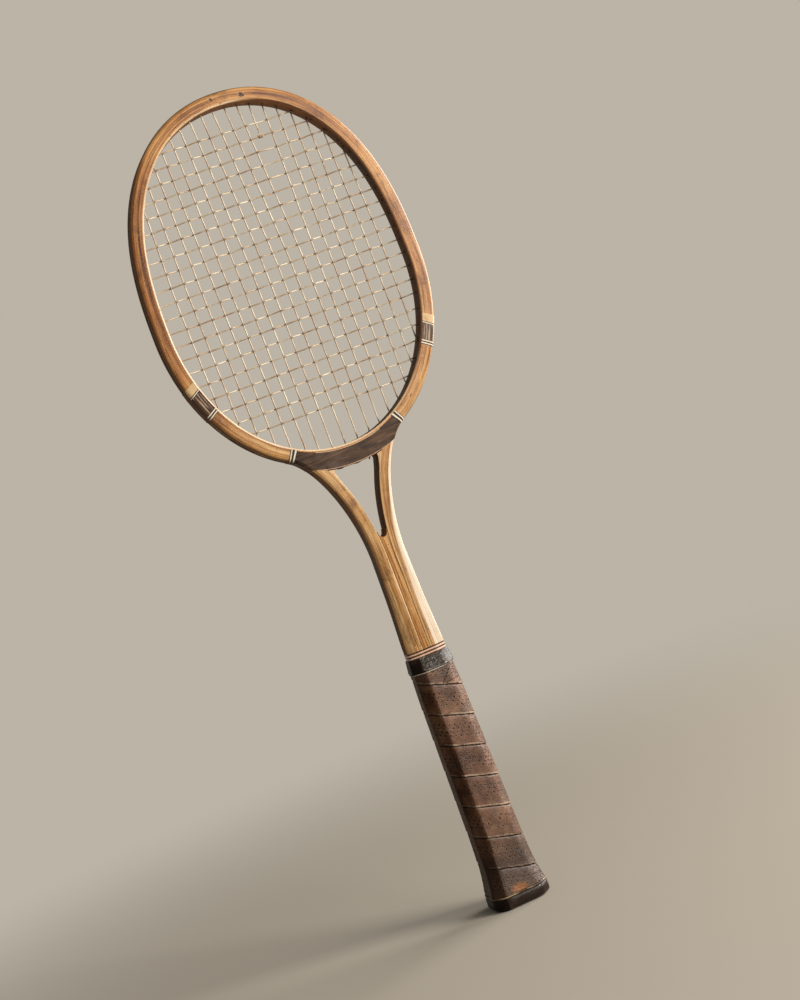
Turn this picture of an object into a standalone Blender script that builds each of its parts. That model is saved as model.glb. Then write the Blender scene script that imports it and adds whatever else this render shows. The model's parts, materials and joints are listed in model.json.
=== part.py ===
"""A wooden tennis racket: a bow of bent plies, an open throat, woven gut strings and a leather grip.

The racket stands upright. +Z runs from the butt to the crown and the front face looks to -Y. The origin lies
on the handle's axis where a hand holds it. Sizes are in metres, and heights below are measured from the
butt end.
"""

import math

import bmesh
import bpy
import numpy as np

# Overall sizes
LENGTH = 0.6860
HEAD_WIDTH = 0.2272
HEAD_UPPER_REACH = 0.1688  # from the crown down to the widest place
HEAD_LOWER_REACH = 0.1371  # from there down to where the head's oval would close
HEAD_WIDEST_HEIGHT = LENGTH - HEAD_UPPER_REACH
HEAD_CLOSE_HEIGHT = HEAD_WIDEST_HEIGHT - HEAD_LOWER_REACH
UPPER_POWERS = (2.10, 2.47)  # of the head's oval, across and along: 2 and 2 are a plain ellipse
LOWER_POWERS = (2.06, 2.00)
FRAME_DEPTH = 0.0183
HOLD_HEIGHT = 0.0750
GAP = 0.0003  # between pieces that are glued or seated

# Plies of the bow, from the outer side inwards
OUTER_PLY = 0.0028
CORE_PLY = 0.0056
INNER_PLY = 0.0022
EDGE_ROUND = 0.0024
INNER_EDGE = 0.0008
CORE_OUT = OUTER_PLY + GAP
CORE_IN = CORE_OUT + CORE_PLY
RING_OUT = CORE_IN + GAP
RING_IN = RING_OUT + INNER_PLY
ROUND_MIDDLE = 1 - math.sqrt(0.5)  # where a quarter circle crosses the diagonal of its corner
CHAMFER_MIDDLE = 0.5

# Legs and shaft
LEG_START_X = 0.0490
LEG_UPPER_PULL = 0.0200
LEG_LOWER_PULL = 0.0450
SHAFT_HALF_WIDTH = 0.0134
LEG_HEIGHT = 0.0841  # from the shaft's top up to where the head's oval would close
SHAFT_TOP = HEAD_CLOSE_HEIGHT - LEG_HEIGHT
LINER = 0.0012
LINER_FLARE = 0.0026  # extra thickness of the liner at the window's upper corner
LINER_FLARE_LENGTH = 0.0160
WEDGE_HEIGHT = 0.0155  # of the window's lower end above the shaft's top
WEDGE_TOP = SHAFT_TOP + WEDGE_HEIGHT
WEDGE_RISE = 0.0055  # from the bottom of the window's round end up to its tips

# Yoke and its face overlays
YOKE_DROP = 0.0061  # of its lower edge below the head's oval
YOKE_TIP = 0.0009
OVERLAY = 0.0006
OVERLAY_END = 0.0030  # past the place where the leg leaves the oval

# Wood of the handle: height, swell beyond the shaft's sides, pallet thickness, chamfer
HANDLE_PROFILE = (
    (0.2100, 0.0026, 0.0006, 0.0033),
    (0.1985, 0.0022, 0.0036, 0.0066),
    (0.1780, 0.0030, 0.0042, 0.0070),
    (0.0550, 0.0047, 0.0057, 0.0072),
    (0.0310, 0.0056, 0.0065, 0.0072),
    (0.0180, 0.0073, 0.0080, 0.0074),
    (0.0113, 0.0086, 0.0091, 0.0076),
    (0.0028, 0.0088, 0.0093, 0.0076),
)
HANDLE_TOP = HANDLE_PROFILE[0][0]

# Wood of the shaft: share of the way down to the handle, swell beyond its sides
SHAFT_SWELLS = ((0.0, 0.0000), (0.46, 0.0009), (0.88, 0.0028))
SHAFT_PROFILE = tuple((SHAFT_TOP - share * (SHAFT_TOP - HANDLE_TOP), swell) for share, swell in SHAFT_SWELLS)

# Leather grip
LEATHER = 0.0015
GRIP_PITCH = 0.0260
GRIP_SEAM = 0.0007
GRIP_SEAM_HEIGHT = 0.0300  # of one seam at the middle of the front
GRIP_BOTTOM = 0.0113
GRIP_LEAST_WIDTH = 0.0015
GRIP_SPARE_TURNS = 3  # counted beyond the grip's ends, where nothing is left of the strip
GRIP_CORNER_IN = 0.0003
GRIP_CORNER_OUT = 0.0012

# Collar, trim rings and butt
COLLAR_TOP = 0.2118
COLLAR_BOTTOM = 0.2003
COLLAR_PROUD = 0.0010  # over the leather, at the lower edge
COLLAR_TOP_WALL = 0.0012
COLLAR_LINE = 0.0009
GRIP_TOP = COLLAR_BOTTOM - GAP - COLLAR_LINE - GAP
TRIM_BASE = COLLAR_TOP + GAP
TRIM_WIDTH = 0.0010
TRIM_WALL = 0.0004
TRIM_COLOURS = ("salmon", "dark", "salmon", "dark")
CAP_TOP = 0.0094
GOLD_WIDTH = 0.0011
GOLD_BOTTOM = CAP_TOP + GAP
GOLD_TOP = GOLD_BOTTOM + GOLD_WIDTH
CAP_ROUND = 0.0028
CAP_FLOOR = 0.0025

# Wraps and lines across the bow
WRAP_WALL = 0.0004
WRAP_INNER_MARGIN = 0.0002
TAN_DROPS = {"left": 0.0476, "right": 0.0583}  # of the middle, on the outer side, below the head's widest place
TAN_WIDTH = 0.0072
TAN_LEAN = 0.24  # how far the bands' inner ends are further up, for each step inwards
LINE_LEAN = 0.10
SLEEVE_LENGTHS = {"left": 0.0188, "right": 0.0138}
LINE_WIDTH = 0.0010
SHOULDER_LINE_STEP = 0.0022
THROAT_LINES = (0.0017, -0.0008)  # middles, along the bow from where the leg leaves the oval

# Strings
MAINS = 17
MAIN_STEPS_ACROSS = 18.84  # in the opening's width
TOP_STEPS_ACROSS = 20.28
MAIN_STEP = (HEAD_WIDTH - 2 * RING_IN) / MAIN_STEPS_ACROSS
TOP_HOLE_STEP = (HEAD_WIDTH - 2 * RING_IN) / TOP_STEPS_ACROSS
MAIN_BEND_RISE = 0.0268  # above it the mains draw together towards the crown's holes
MAIN_BEND_HEIGHT = HEAD_WIDEST_HEIGHT + MAIN_BEND_RISE
SPARE_HOLE = 11  # the crown has one hole more than there are mains, and a short length is tied from it
OPENING_HEIGHT = LENGTH - HEAD_CLOSE_HEIGHT - 2 * RING_IN
TOP_PARTS = 14  # the first cross string lies one such part of the opening's height below its top
UPPER_PARTS = 25.1
LOWER_PARTS = 23.2
CROSS_TOP = LENGTH - RING_IN - OPENING_HEIGHT / TOP_PARTS
CROSS_STEPS = ((15, OPENING_HEIGHT / UPPER_PARTS), (5, OPENING_HEIGHT / LOWER_PARTS))
STRING_HALF = 0.00055
WEAVE = 0.0015  # between the middles of two strings where they cross
LANE = 0.0008  # the main strings' holes lie this far behind the middle of the bow, the cross strings' before it
HOLE_HALF = 0.0007
CUT_INSIDE = 0.0024  # of the holes' cutters, past the inner wall and past the string's turn
CUT_OUTSIDE = 0.0032
GROOVE_DEPTH = 0.0016
GROOVE_HALF_TOP = 0.0019
GROOVE_HALF_BOTTOM = 0.0016
GROOVE_PAST_HOLE = 0.0028
GROOVE_FADE = 0.0060
STRING_SINK = 0.0008  # of a string's middle below the bow's outer side
WALL_STANDOFF = 0.0012
TURN = 0.0005
LANE_RUN = 0.0150
NEAR_WALL = 0.0050
HOLE_END = 0.0020
WINDOW_HOLES = (0.0075, 0.0145)
WINDOW_DROP = 0.0011  # of a string's middle below the yoke's lower edge
WINDOW_TAIL = 0.0020

# Fineness
HEAD_STEPS = 34
BEND_STEPS = 6
BEND_STEP = 0.0040
LEG_STEPS = 9
RING_STEPS = 40
APEX_STEPS = 6
LOOP_STEP = 0.0120
DENSE = 1200
HALVINGS = 60
SHARP_ANGLE = math.radians(30)

COLOURS = {
    "honey": ((0.48, 0.20, 0.06), 0.30, 0.0),
    "amber": ((0.40, 0.15, 0.04), 0.30, 0.0),
    "pale": ((0.62, 0.36, 0.16), 0.32, 0.0),
    "walnut": ((0.060, 0.030, 0.022), 0.38, 0.0),
    "tan": ((0.50, 0.30, 0.15), 0.45, 0.0),
    "ivory": ((0.72, 0.64, 0.52), 0.40, 0.0),
    "salmon": ((0.62, 0.36, 0.26), 0.45, 0.0),
    "dark": ((0.020, 0.012, 0.010), 0.35, 0.0),
    "leather": ((0.095, 0.042, 0.028), 0.55, 0.0),
    "black": ((0.012, 0.010, 0.010), 0.18, 0.0),
    "gold": ((0.60, 0.38, 0.12), 0.35, 0.8),
    "gut": ((0.62, 0.48, 0.30), 0.35, 0.0),
}

HALF_DEPTH = FRAME_DEPTH / 2
HOLE_LONGEST = 3 * RING_IN
LEAST_STATION = BEND_STEP / 2  # stations nearer to the one before them than this are left out
WOOD_END = HANDLE_PROFILE[-1][0]
SQUARE = ((-1, -1), (1, -1), (1, 1), (-1, 1))


class Run:
    """A smooth line of (x, z) points, read by the length along it. Inwards is to the right of the way."""

    def __init__(self, points, start_way, end_way):
        self.points = np.array(points)
        steps = np.linalg.norm(np.diff(self.points, axis=0), axis=1)
        self.lengths = np.concatenate([[0.0], np.cumsum(steps)])
        self.ways = np.gradient(self.points, self.lengths, axis=0)
        self.ways[0] = start_way
        self.ways[-1] = end_way

    def way(self, length):
        way = np.array([np.interp(length, self.lengths, self.ways[:, axis]) for axis in (0, 1)])
        return way / np.linalg.norm(way)

    def inward(self, length):
        way = self.way(length)
        return np.array([way[1], -way[0]])

    def at(self, length, inward=0.0):
        point = np.array([np.interp(length, self.lengths, self.points[:, axis]) for axis in (0, 1)])
        return point + inward * self.inward(length)

    def depth_of(self, point):
        """How far inwards of the line a point lies, and the length along the line nearest to it."""
        nearest = int(np.argmin(np.linalg.norm(self.points - point, axis=1)))
        length = self.lengths[nearest]
        length += float(np.dot(point - self.points[nearest], self.way(length)))
        return float(np.dot(point - self.at(length), self.inward(length))), length


def power(value, exponent):
    return max(value, 0.0) ** exponent


def oval(angle):
    """A point of the head's outer oval, from 0 at the crown to pi at its lowest point, on the +X side."""
    across, along = UPPER_POWERS if angle <= math.pi / 2 else LOWER_POWERS
    reach = LENGTH - HEAD_WIDEST_HEIGHT if angle <= math.pi / 2 else -HEAD_LOWER_REACH
    x = HEAD_WIDTH / 2 * power(math.sin(angle), 2 / across)
    return x, HEAD_WIDEST_HEIGHT + reach * power(abs(math.cos(angle)), 2 / along)


def make_head():
    angles = np.linspace(0, math.pi, DENSE)
    return Run([oval(angle) for angle in angles], (1, 0), (-1, 0))


def make_bow():
    """The bow's outer line from the crown round the head, down one leg and through the handle."""
    leave = math.pi - math.asin((LEG_START_X / (HEAD_WIDTH / 2)) ** (LOWER_POWERS[0] / 2))
    points = [oval(angle) for angle in np.linspace(0, leave, DENSE)]
    start = np.array(points[-1])
    way = start - np.array(points[-2])
    upper = start + way / np.linalg.norm(way) * LEG_UPPER_PULL
    end = np.array([SHAFT_HALF_WIDTH, SHAFT_TOP])
    lower = end + np.array([0, LEG_LOWER_PULL])
    for share in np.linspace(0, 1, DENSE)[1:]:
        rest = 1 - share
        bend = rest**3 * start + 3 * rest**2 * share * upper + 3 * rest * share**2 * lower + share**3 * end
        points.append(tuple(bend))
    head_count = DENSE - 1
    for height in np.linspace(SHAFT_TOP, WOOD_END, DENSE)[1:]:
        points.append((SHAFT_HALF_WIDTH, height))
    bow = Run(points, (1, 0), (0, -1))
    return bow, bow.lengths[head_count], bow.lengths[head_count + DENSE - 1]


HEAD = make_head()
BOW, LEG_START, SHAFT_START = make_bow()


def bow_length_at(height):
    """The length along the bow at a height, below the widest place of the head."""
    low = BOW.points[:, 1] <= HEAD_WIDEST_HEIGHT
    heights = BOW.points[low, 1][::-1]
    return float(np.interp(height, heights, BOW.lengths[low][::-1]))


def solve(reading, target, low, high):
    """The value between low and high at which a reading that only falls or only rises meets the target."""
    rising = reading(high) > reading(low)
    for _ in range(HALVINGS):
        middle = (low + high) / 2
        if (reading(middle) < target) == rising:
            low = middle
        else:
            high = middle
    return (low + high) / 2


def swell_at(height):
    rows = sorted([row[:2] for row in SHAFT_PROFILE + HANDLE_PROFILE])
    return float(np.interp(height, [row[0] for row in rows], [row[1] for row in rows]))


def wood_at(height):
    """Half width, half depth and chamfer of the handle's wood."""
    rows = sorted(HANDLE_PROFILE)
    heights = [row[0] for row in rows]
    swell, pallet, chamfer = (float(np.interp(height, heights, [row[k] for row in rows])) for k in (1, 2, 3))
    return SHAFT_HALF_WIDTH + swell, HALF_DEPTH + GAP + pallet, chamfer


def side_shape(length):
    """Swell, corner size and corner middle of the bow's outer side at a length along it."""
    height = BOW.at(length)[1]
    if length <= SHAFT_START:
        return 0.0, EDGE_ROUND, ROUND_MIDDLE
    if height > HANDLE_TOP:
        flat = (SHAFT_TOP - height) / (SHAFT_TOP - HANDLE_TOP)
        middle = ROUND_MIDDLE + flat * (CHAMFER_MIDDLE - ROUND_MIDDLE)
        return swell_at(height), EDGE_ROUND, middle
    half_width, half_depth, chamfer = wood_at(height)
    corner = max(HALF_DEPTH - (half_depth - chamfer), INNER_EDGE)
    return half_width - SHAFT_HALF_WIDTH, corner, CHAMFER_MIDDLE


# Holes

def head_wall(x=None, height=None, upper=True):
    """The length along the head at which its inner wall has this x, on one half, or this height, on the +X side."""
    wide = HEAD.lengths[DENSE // 2]
    if height is not None:
        return solve(lambda length: HEAD.at(length, RING_IN)[1], height, 0.0, HEAD.lengths[-1])
    if upper:
        return solve(lambda length: HEAD.at(length, RING_IN)[0], x, 0.0, wide)
    return solve(lambda length: HEAD.at(length, RING_IN)[0], x, wide, HEAD.lengths[-1])


class Hole:
    """A string hole: where it enters the bow from the opening, where the string turns outside, and its lane."""

    def __init__(self, side, wall_length, lane, exit_x=None):
        self.side = side
        self.lane = lane
        entry = HEAD.at(wall_length, RING_IN)
        self.in_window = exit_x is not None
        if self.in_window:
            drop = YOKE_DROP + WINDOW_DROP
            self.line = HEAD
            self.turn_depth = -drop
            self.turn_length = solve(lambda length: HEAD.at(length, -drop)[0], exit_x, LEG_START, HEAD.lengths[-1])
        else:
            self.line = BOW
            self.turn_depth = STRING_SINK
            out = -HEAD.inward(wall_length)
            reach = solve(lambda reach: -BOW.depth_of(entry + reach * out)[0], -STRING_SINK, 0, HOLE_LONGEST)
            self.turn_length = BOW.depth_of(entry + reach * out)[1]
        turn = self.line.at(self.turn_length, self.turn_depth)
        self.out = (turn - entry) / np.linalg.norm(turn - entry)
        self.entry = entry
        self.turn = turn

    def place(self, point):
        return np.array([self.side * point[0], self.lane, point[1]])

    def approach(self):
        """The string's points between the opening and its turn, from the opening outwards."""
        near = self.entry - WALL_STANDOFF * self.out
        return [self.place(near), self.place(self.turn - TURN * self.out)]

    def tail(self, inside):
        """The same points for a string that ends here: inside the hole, or just past it."""
        near = self.entry - WALL_STANDOFF * self.out
        end = self.turn - HOLE_END * self.out if inside else self.turn + WINDOW_TAIL * self.out
        return [self.place(near), self.place(end)]


def loop_points(first, second):
    """The string's points from one hole's turn along the bow to the next hole's, on one side of the racket."""
    way = 1 if second.side * second.turn_length > first.side * first.turn_length else -1
    depth = first.turn_depth
    start = first.side * first.turn_length + way * TURN
    end = second.side * second.turn_length - way * TURN
    count = max(1, math.ceil(abs(end - start) / LOOP_STEP))
    points = []
    for value in np.linspace(start, end, count + 1):
        point = first.line.at(abs(value), depth)
        side = 1 if value >= 0 else -1
        points.append(np.array([side * point[0], first.lane, point[1]]))
    return points


def window_loop_points(first, second):
    """The same under the yoke, where the lengths of the two sides meet at the middle."""
    whole = HEAD.lengths[-1]
    start = first.side * (whole - first.turn_length)
    end = second.side * (whole - second.turn_length)
    way = 1 if end > start else -1
    points = []
    for value in (start + way * TURN, (start + end) / 2, end - way * TURN):
        point = HEAD.at(whole - abs(value), first.turn_depth)
        side = 1 if value >= 0 else -1
        points.append(np.array([side * point[0], first.lane, point[1]]))
    return points


def side_of(value):
    return -1 if value < 0 else 1


def make_holes():
    """The holes at the tops and bottoms of the mains, the spare one, and those at both ends of the crosses."""
    middle = (MAINS - 1) / 2
    tops = []
    for index in range(MAINS + 1):
        x = (index - MAINS / 2) * TOP_HOLE_STEP
        tops.append(Hole(side_of(x), head_wall(x=abs(x)), LANE))
    bottoms = []
    for index in range(MAINS):
        x = (index - middle) * MAIN_STEP
        nearness = round(abs(index - middle))
        exit_x = (0.0, *WINDOW_HOLES)[nearness] if nearness <= len(WINDOW_HOLES) else None
        bottoms.append(Hole(side_of(x), head_wall(x=abs(x), upper=False), LANE, exit_x))
    heights = [CROSS_TOP]
    for count, step in CROSS_STEPS:
        heights += [heights[-1] - step * (k + 1) for k in range(count)]
    crosses = []
    for height in heights:
        wall = head_wall(height=height)
        crosses.append((Hole(-1, wall, -LANE), Hole(1, wall, -LANE)))
    return tops, bottoms, crosses, heights


TOP_HOLES, BOTTOM_HOLES, CROSS_HOLES, CROSS_HEIGHTS = make_holes()
GROOVE_END = max(hole.turn_length for hole in BOTTOM_HOLES if not hole.in_window) + GROOVE_PAST_HOLE


def top_hole(main):
    return TOP_HOLES[main if main < SPARE_HOLE else main + 1]


# Paths of the strings

def main_points(main):
    """One main string between its holes, from the bottom up, drawn in towards the crown's holes."""
    low = BOTTOM_HOLES[main].approach()[0]
    high = top_hole(main).approach()[0]
    bend = np.array([(main - (MAINS - 1) / 2) * MAIN_STEP, 0.0, MAIN_BEND_HEIGHT])
    points = [low]
    for start, end in ((low, bend), (high, bend)):
        flat = np.array([end[0] - start[0], 0.0, end[2] - start[2]])
        flat = start + flat * (LANE_RUN / np.linalg.norm(flat))
        flat[1] = 0.0
        points.append(flat)
    points.insert(2, bend)
    points.append(high)
    return points


def point_at_height(points, height):
    heights = [point[2] for point in points]
    return np.array([np.interp(height, heights, [point[axis] for point in points]) for axis in range(3)])


def cross_points(cross):
    """One cross string from left to right, before and behind the mains in turn."""
    left, right = (hole.approach()[0] for hole in CROSS_HOLES[cross])
    height = CROSS_HEIGHTS[cross]
    points = [left]
    for main, line in enumerate(MAIN_LINES):
        if not line[0][2] < height < line[-1][2]:
            continue
        point = point_at_height(line, height)
        to_ends = [np.linalg.norm((point - end)[[0, 2]]) for end in (left, right, line[0], line[-1])]
        if min(to_ends[:2]) < WALL_STANDOFF or not left[0] < point[0] < right[0]:
            continue
        before = min(to_ends) < NEAR_WALL or (main + cross) % 2 == 0
        point[1] += -WEAVE if before else WEAVE
        points.append(point)
    points.append(right)
    return points


MAIN_LINES = [main_points(main) for main in range(MAINS)]


def joined(first, second):
    if first.in_window:
        return window_loop_points(first, second)
    return loop_points(first, second)


def serpentine(lines, holes, first_from_end):
    """One path up and down through a row of lines. A line runs from the first of its two holes to the second."""
    path = []
    for index, (line, ends) in enumerate(zip(lines, holes)):
        start, end = ends
        points = line
        if (index % 2 == 0) == first_from_end:
            start, end = end, start
            points = line[::-1]
        if index == 0:
            path += start.tail(True)[::-1]
        else:
            path += start.approach()[::-1]
        path += points[1:-1]
        if index == len(lines) - 1:
            path += end.tail(not end.in_window)
            break
        path += end.approach()
        following = holes[index + 1]
        next_start = following[1] if (index % 2 == 0) != first_from_end else following[0]
        path += joined(end, next_start)
    return path


def main_string(first, last):
    indexes = range(first, last + 1)
    lines = [MAIN_LINES[main] for main in indexes]
    holes = [(BOTTOM_HOLES[main], top_hole(main)) for main in indexes]
    return serpentine(lines, holes, True)


def cross_string():
    lines = [cross_points(cross) for cross in range(len(CROSS_HEIGHTS))]
    return serpentine(lines, CROSS_HOLES, False)


def short_string():
    """The short length from the spare hole past the first cross, tied at the second."""
    hole = TOP_HOLES[SPARE_HOLE]
    near, end = hole.tail(True)
    x = near[0]
    behind = np.array([x, WEAVE + STRING_HALF, CROSS_HEIGHTS[0]])
    tied = np.array([x, 0.0, CROSS_HEIGHTS[1] + STRING_HALF * 2 + GAP])
    return [end, near, behind, tied]


def spread(path, step):
    """Points along a path, no further apart than a step, with the length of the path up to each."""
    points, lengths = [], []
    done = 0.0
    for start, end in zip(path[:-1], path[1:]):
        run = np.linalg.norm(end - start)
        count = max(1, math.ceil(run / step))
        for k in range(count):
            points.append(start + (end - start) * k / count)
            lengths.append(done + run * k / count)
        done += run
    return np.array(points + [path[-1]]), np.array(lengths + [done])


def least_distance(first, second, apart=None):
    """The least distance between the middles of two paths, or of one path and itself beyond a length apart."""
    points, lengths = spread(first, STRING_HALF)
    others, other_lengths = spread(second, STRING_HALF)
    least = math.inf
    for point, length in zip(points, lengths):
        distances = np.linalg.norm(others - point, axis=1)
        if apart is not None:
            distances = distances[np.abs(other_lengths - length) > apart]
        least = min(least, distances.min(initial=math.inf))
    return least


# Mesh helpers

def make_material(name):
    colour, roughness, metallic = COLOURS[name]
    material = bpy.data.materials.get(name) or bpy.data.materials.new(name)
    material.use_nodes = True
    shader = material.node_tree.nodes["Principled BSDF"]
    shader.inputs["Base Color"].default_value = (*colour, 1)
    shader.inputs["Roughness"].default_value = roughness
    shader.inputs["Metallic"].default_value = metallic
    return material


def add_object(name, mesh, colour):
    """Adds a mesh whose heights are measured from the butt end, on the racket's empty."""
    obj = bpy.data.objects.new(name, mesh)
    obj.parent = bpy.data.objects["racket"]
    bpy.context.scene.collection.objects.link(obj)
    if colour:
        mesh.materials.append(make_material(colour))
    mesh.shade_smooth()
    mesh.set_sharp_from_angle(angle=SHARP_ANGLE)
    return obj


def finish(name, shape, colour):
    """Turns a closed shape into an object with its faces outwards."""
    bmesh.ops.recalc_face_normals(shape, faces=shape.faces)
    mesh = bpy.data.meshes.new(name)
    shape.to_mesh(mesh)
    shape.free()
    return add_object(name, mesh, colour)


def join_rings(shape, first, second):
    """Four-sided faces between two rings of equally many vertices."""
    for k in range(len(first)):
        following = (k + 1) % len(first)
        shape.faces.new((first[k], first[following], second[following], second[k]))


def add_bar(shape, rings, closed=False):
    """Adds a body through rings of equally many points, capped at both ends, or closed into a ring."""
    made = [[shape.verts.new(point) for point in ring] for ring in rings]
    for first, second in zip(made[:-1], made[1:]):
        join_rings(shape, first, second)
    if closed:
        join_rings(shape, made[-1], made[0])
    else:
        shape.faces.new(made[0][::-1])
        shape.faces.new(made[-1])


def loft(name, rings, colour, closed=False):
    """One such body as an object."""
    shape = bmesh.new()
    add_bar(shape, rings, closed)
    return finish(name, shape, colour)


def plate(name, outline, front, back, colour):
    """A flat body with an (x, z) outline between two depths."""
    rings = [[(x, y, z) for x, z in outline] for y in (front, back)]
    return loft(name, rings, colour)


def cut(obj, cutter):
    cutter.hide_render = True
    cutter.display_type = "WIRE"
    modifier = obj.modifiers.new(cutter.name, "BOOLEAN")
    modifier.operation = "DIFFERENCE"
    modifier.solver = "EXACT"
    modifier.object = cutter


def mirrored(point):
    return -point[0], point[1]


# The bow

def bow_lengths():
    """Stations along half of the bow: even round the head, close together where the leg bends away."""
    head = np.linspace(0, LEG_START, HEAD_STEPS + 1)
    bend = LEG_START + BEND_STEP * np.arange(1, BEND_STEPS + 1)
    leg = np.linspace(bend[-1], SHAFT_START, LEG_STEPS + 1)[1:]
    heights = [row[0] for row in SHAFT_PROFILE[1:] + HANDLE_PROFILE]
    shaft = [SHAFT_START + SHAFT_TOP - height for height in heights]
    groove = [GROOVE_END, GROOVE_END + GROOVE_FADE]
    return sorted([*head, *bend, *leg, *shaft, *groove])


BOW_LENGTHS = bow_lengths()


def bow_ring(length, side, section, lean=0.0):
    """A section of the bow; one that leans is further up at the inner side."""
    ring = []
    for depth, y in section:
        x, z = BOW.at(length - lean * depth, depth)
        ring.append((side * x, y, z))
    return ring


def horseshoe(name, section_at, colour):
    """A ply from the butt up one leg, round the head and down the other leg."""
    rings = [bow_ring(length, -1, section_at(length)) for length in BOW_LENGTHS[:0:-1]]
    rings += [bow_ring(length, 1, section_at(length)) for length in BOW_LENGTHS]
    return loft(name, rings, colour)


def outer_section(length):
    swell, corner, middle = side_shape(length)
    fade = np.interp(length, [GROOVE_END, GROOVE_END + GROOVE_FADE], [1.0, 0.0])
    half = [
        (OUTER_PLY, HALF_DEPTH),
        (corner - swell, HALF_DEPTH),
        (middle * corner - swell, HALF_DEPTH - middle * corner),
        (-swell, HALF_DEPTH - corner),
        (-swell, GROOVE_HALF_TOP),
        (GROOVE_DEPTH * fade - swell, GROOVE_HALF_BOTTOM),
    ]
    return [(depth, -y) for depth, y in half] + half[::-1]


def make_outer_ply():
    return horseshoe("bow_outer_ply", outer_section, "honey")


def make_core_ply():
    section = [(CORE_OUT, -HALF_DEPTH), (CORE_OUT, HALF_DEPTH), (CORE_IN, HALF_DEPTH), (CORE_IN, -HALF_DEPTH)]
    core = horseshoe("bow_core_ply", lambda length: section, "amber")
    for name, face in (("front_pocket", -1), ("back_pocket", 1)):
        outline = overlay_outline(GAP)
        depths = sorted((face * (HALF_DEPTH - OVERLAY - GAP), face * FRAME_DEPTH))
        cut(core, plate(name, outline, depths[0], depths[1], None))
    return core


def ring_lengths():
    """Stations along half of the head: the bow's own down to the leg, then evenly to the lowest point."""
    shared = [length for length in BOW_LENGTHS if length < LEG_START + LEAST_STATION]
    rest = np.linspace(LEG_START, HEAD.lengths[-1], RING_STEPS - HEAD_STEPS + 1)[1:]
    return shared + list(rest)


RING_LENGTHS = ring_lengths()


def make_inner_ply():
    section = [
        (RING_OUT, -HALF_DEPTH),
        (RING_IN - INNER_EDGE, -HALF_DEPTH),
        (RING_IN, INNER_EDGE - HALF_DEPTH),
        (RING_IN, HALF_DEPTH - INNER_EDGE),
        (RING_IN - INNER_EDGE, HALF_DEPTH),
        (RING_OUT, HALF_DEPTH),
    ]
    rings = []
    for length in RING_LENGTHS:
        rings.append([(x, y, z) for (x, z), y in ((HEAD.at(length, depth), y) for depth, y in section)])
    other = [[(-x, y, z) for x, y, z in ring] for ring in rings[1:-1]]
    return loft("bow_inner_ply", rings + other[::-1], "honey", closed=True)


# The throat

def oval_depth(length, inward):
    """How far inwards of the head's oval a point of the leg lies."""
    return HEAD.depth_of(BOW.at(length, inward))[0]


def leg_length_where(inward, depth):
    """The length along the bow at which a line inside the leg leaves the oval by a depth."""
    return solve(lambda length: oval_depth(length, inward), depth, LEG_START, SHAFT_START)


def oval_run(start, depth):
    """Points of a line beside the oval, from a length of it on the +X side to the middle."""
    inner = [length for length in RING_LENGTHS if length > start + LEAST_STATION]
    return [HEAD.at(length, depth) for length in [start, *inner]]


def leg_run(start, end, inward):
    """Points of a line inside the leg, at the bow's own stations between two lengths."""
    inner = [length for length in BOW_LENGTHS if start < length < end]
    return [BOW.at(length, inward) for length in [start, *inner, end]]


def both_sides(half):
    """A closed outline from its +X half, which runs from the middle above to the middle below."""
    return list(half) + [mirrored(point) for point in half[-2:0:-1]]


def make_yoke():
    side = RING_OUT
    tip = leg_length_where(side, CORE_IN - YOKE_TIP)
    foot = leg_length_where(side, -YOKE_DROP)
    tip_length = HEAD.depth_of(BOW.at(tip, side))[1]
    foot_length = HEAD.depth_of(BOW.at(foot, side))[1]
    half = oval_run(tip_length, CORE_IN)[::-1] + leg_run(tip, foot, side) + oval_run(foot_length, -YOKE_DROP)[1:]
    yoke_depth = HALF_DEPTH - OVERLAY - GAP
    return plate("yoke", both_sides(half), -yoke_depth, yoke_depth, "amber")


def overlay_outline(grow):
    side = CORE_OUT - grow
    drop = -YOKE_DROP - grow
    end = LEG_START + OVERLAY_END - grow
    foot = leg_length_where(side, drop)
    foot_length = HEAD.depth_of(BOW.at(foot, side))[1]
    half = oval_run(end, CORE_IN + grow)[::-1] + leg_run(end, foot, side) + oval_run(foot_length, drop)[1:]
    return both_sides(half)


def make_overlays():
    outline = overlay_outline(0)
    inner = HALF_DEPTH - OVERLAY
    plate("yoke_overlay_front", outline, -HALF_DEPTH, -inner, "walnut")
    plate("yoke_overlay_back", outline, inner, HALF_DEPTH, "walnut")


def liner_wall(length, top):
    share = max(0.0, 1 - (length - top) / LINER_FLARE_LENGTH)
    return LINER + LINER_FLARE * share**2


def liner_top():
    return leg_length_where(RING_OUT, -YOKE_DROP - GAP)


def make_liner(name, side):
    """The lining of one leg, from under the yoke down through the shaft to the butt."""
    top = liner_top()
    inner = RING_OUT + liner_wall(top, top)
    inner_top = leg_length_where(inner, -YOKE_DROP - GAP)
    skewed = [BOW.at(top, RING_OUT), BOW.at(inner_top, inner)]
    runs = [skewed]
    for length in BOW_LENGTHS:
        if length > inner_top + LEAST_STATION:
            depths = (RING_OUT, RING_OUT + liner_wall(length, top))
            runs.append([BOW.at(length, depth) for depth in depths])
    rings = []
    for (outer_x, outer_z), (inner_x, inner_z) in runs:
        ring = [(outer_x, -HALF_DEPTH, outer_z), (outer_x, HALF_DEPTH, outer_z)]
        ring += [(inner_x, HALF_DEPTH, inner_z), (inner_x, -HALF_DEPTH, inner_z)]
        rings.append([(side * x, y, z) for x, y, z in ring])
    return loft(name, rings, "pale")


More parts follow.
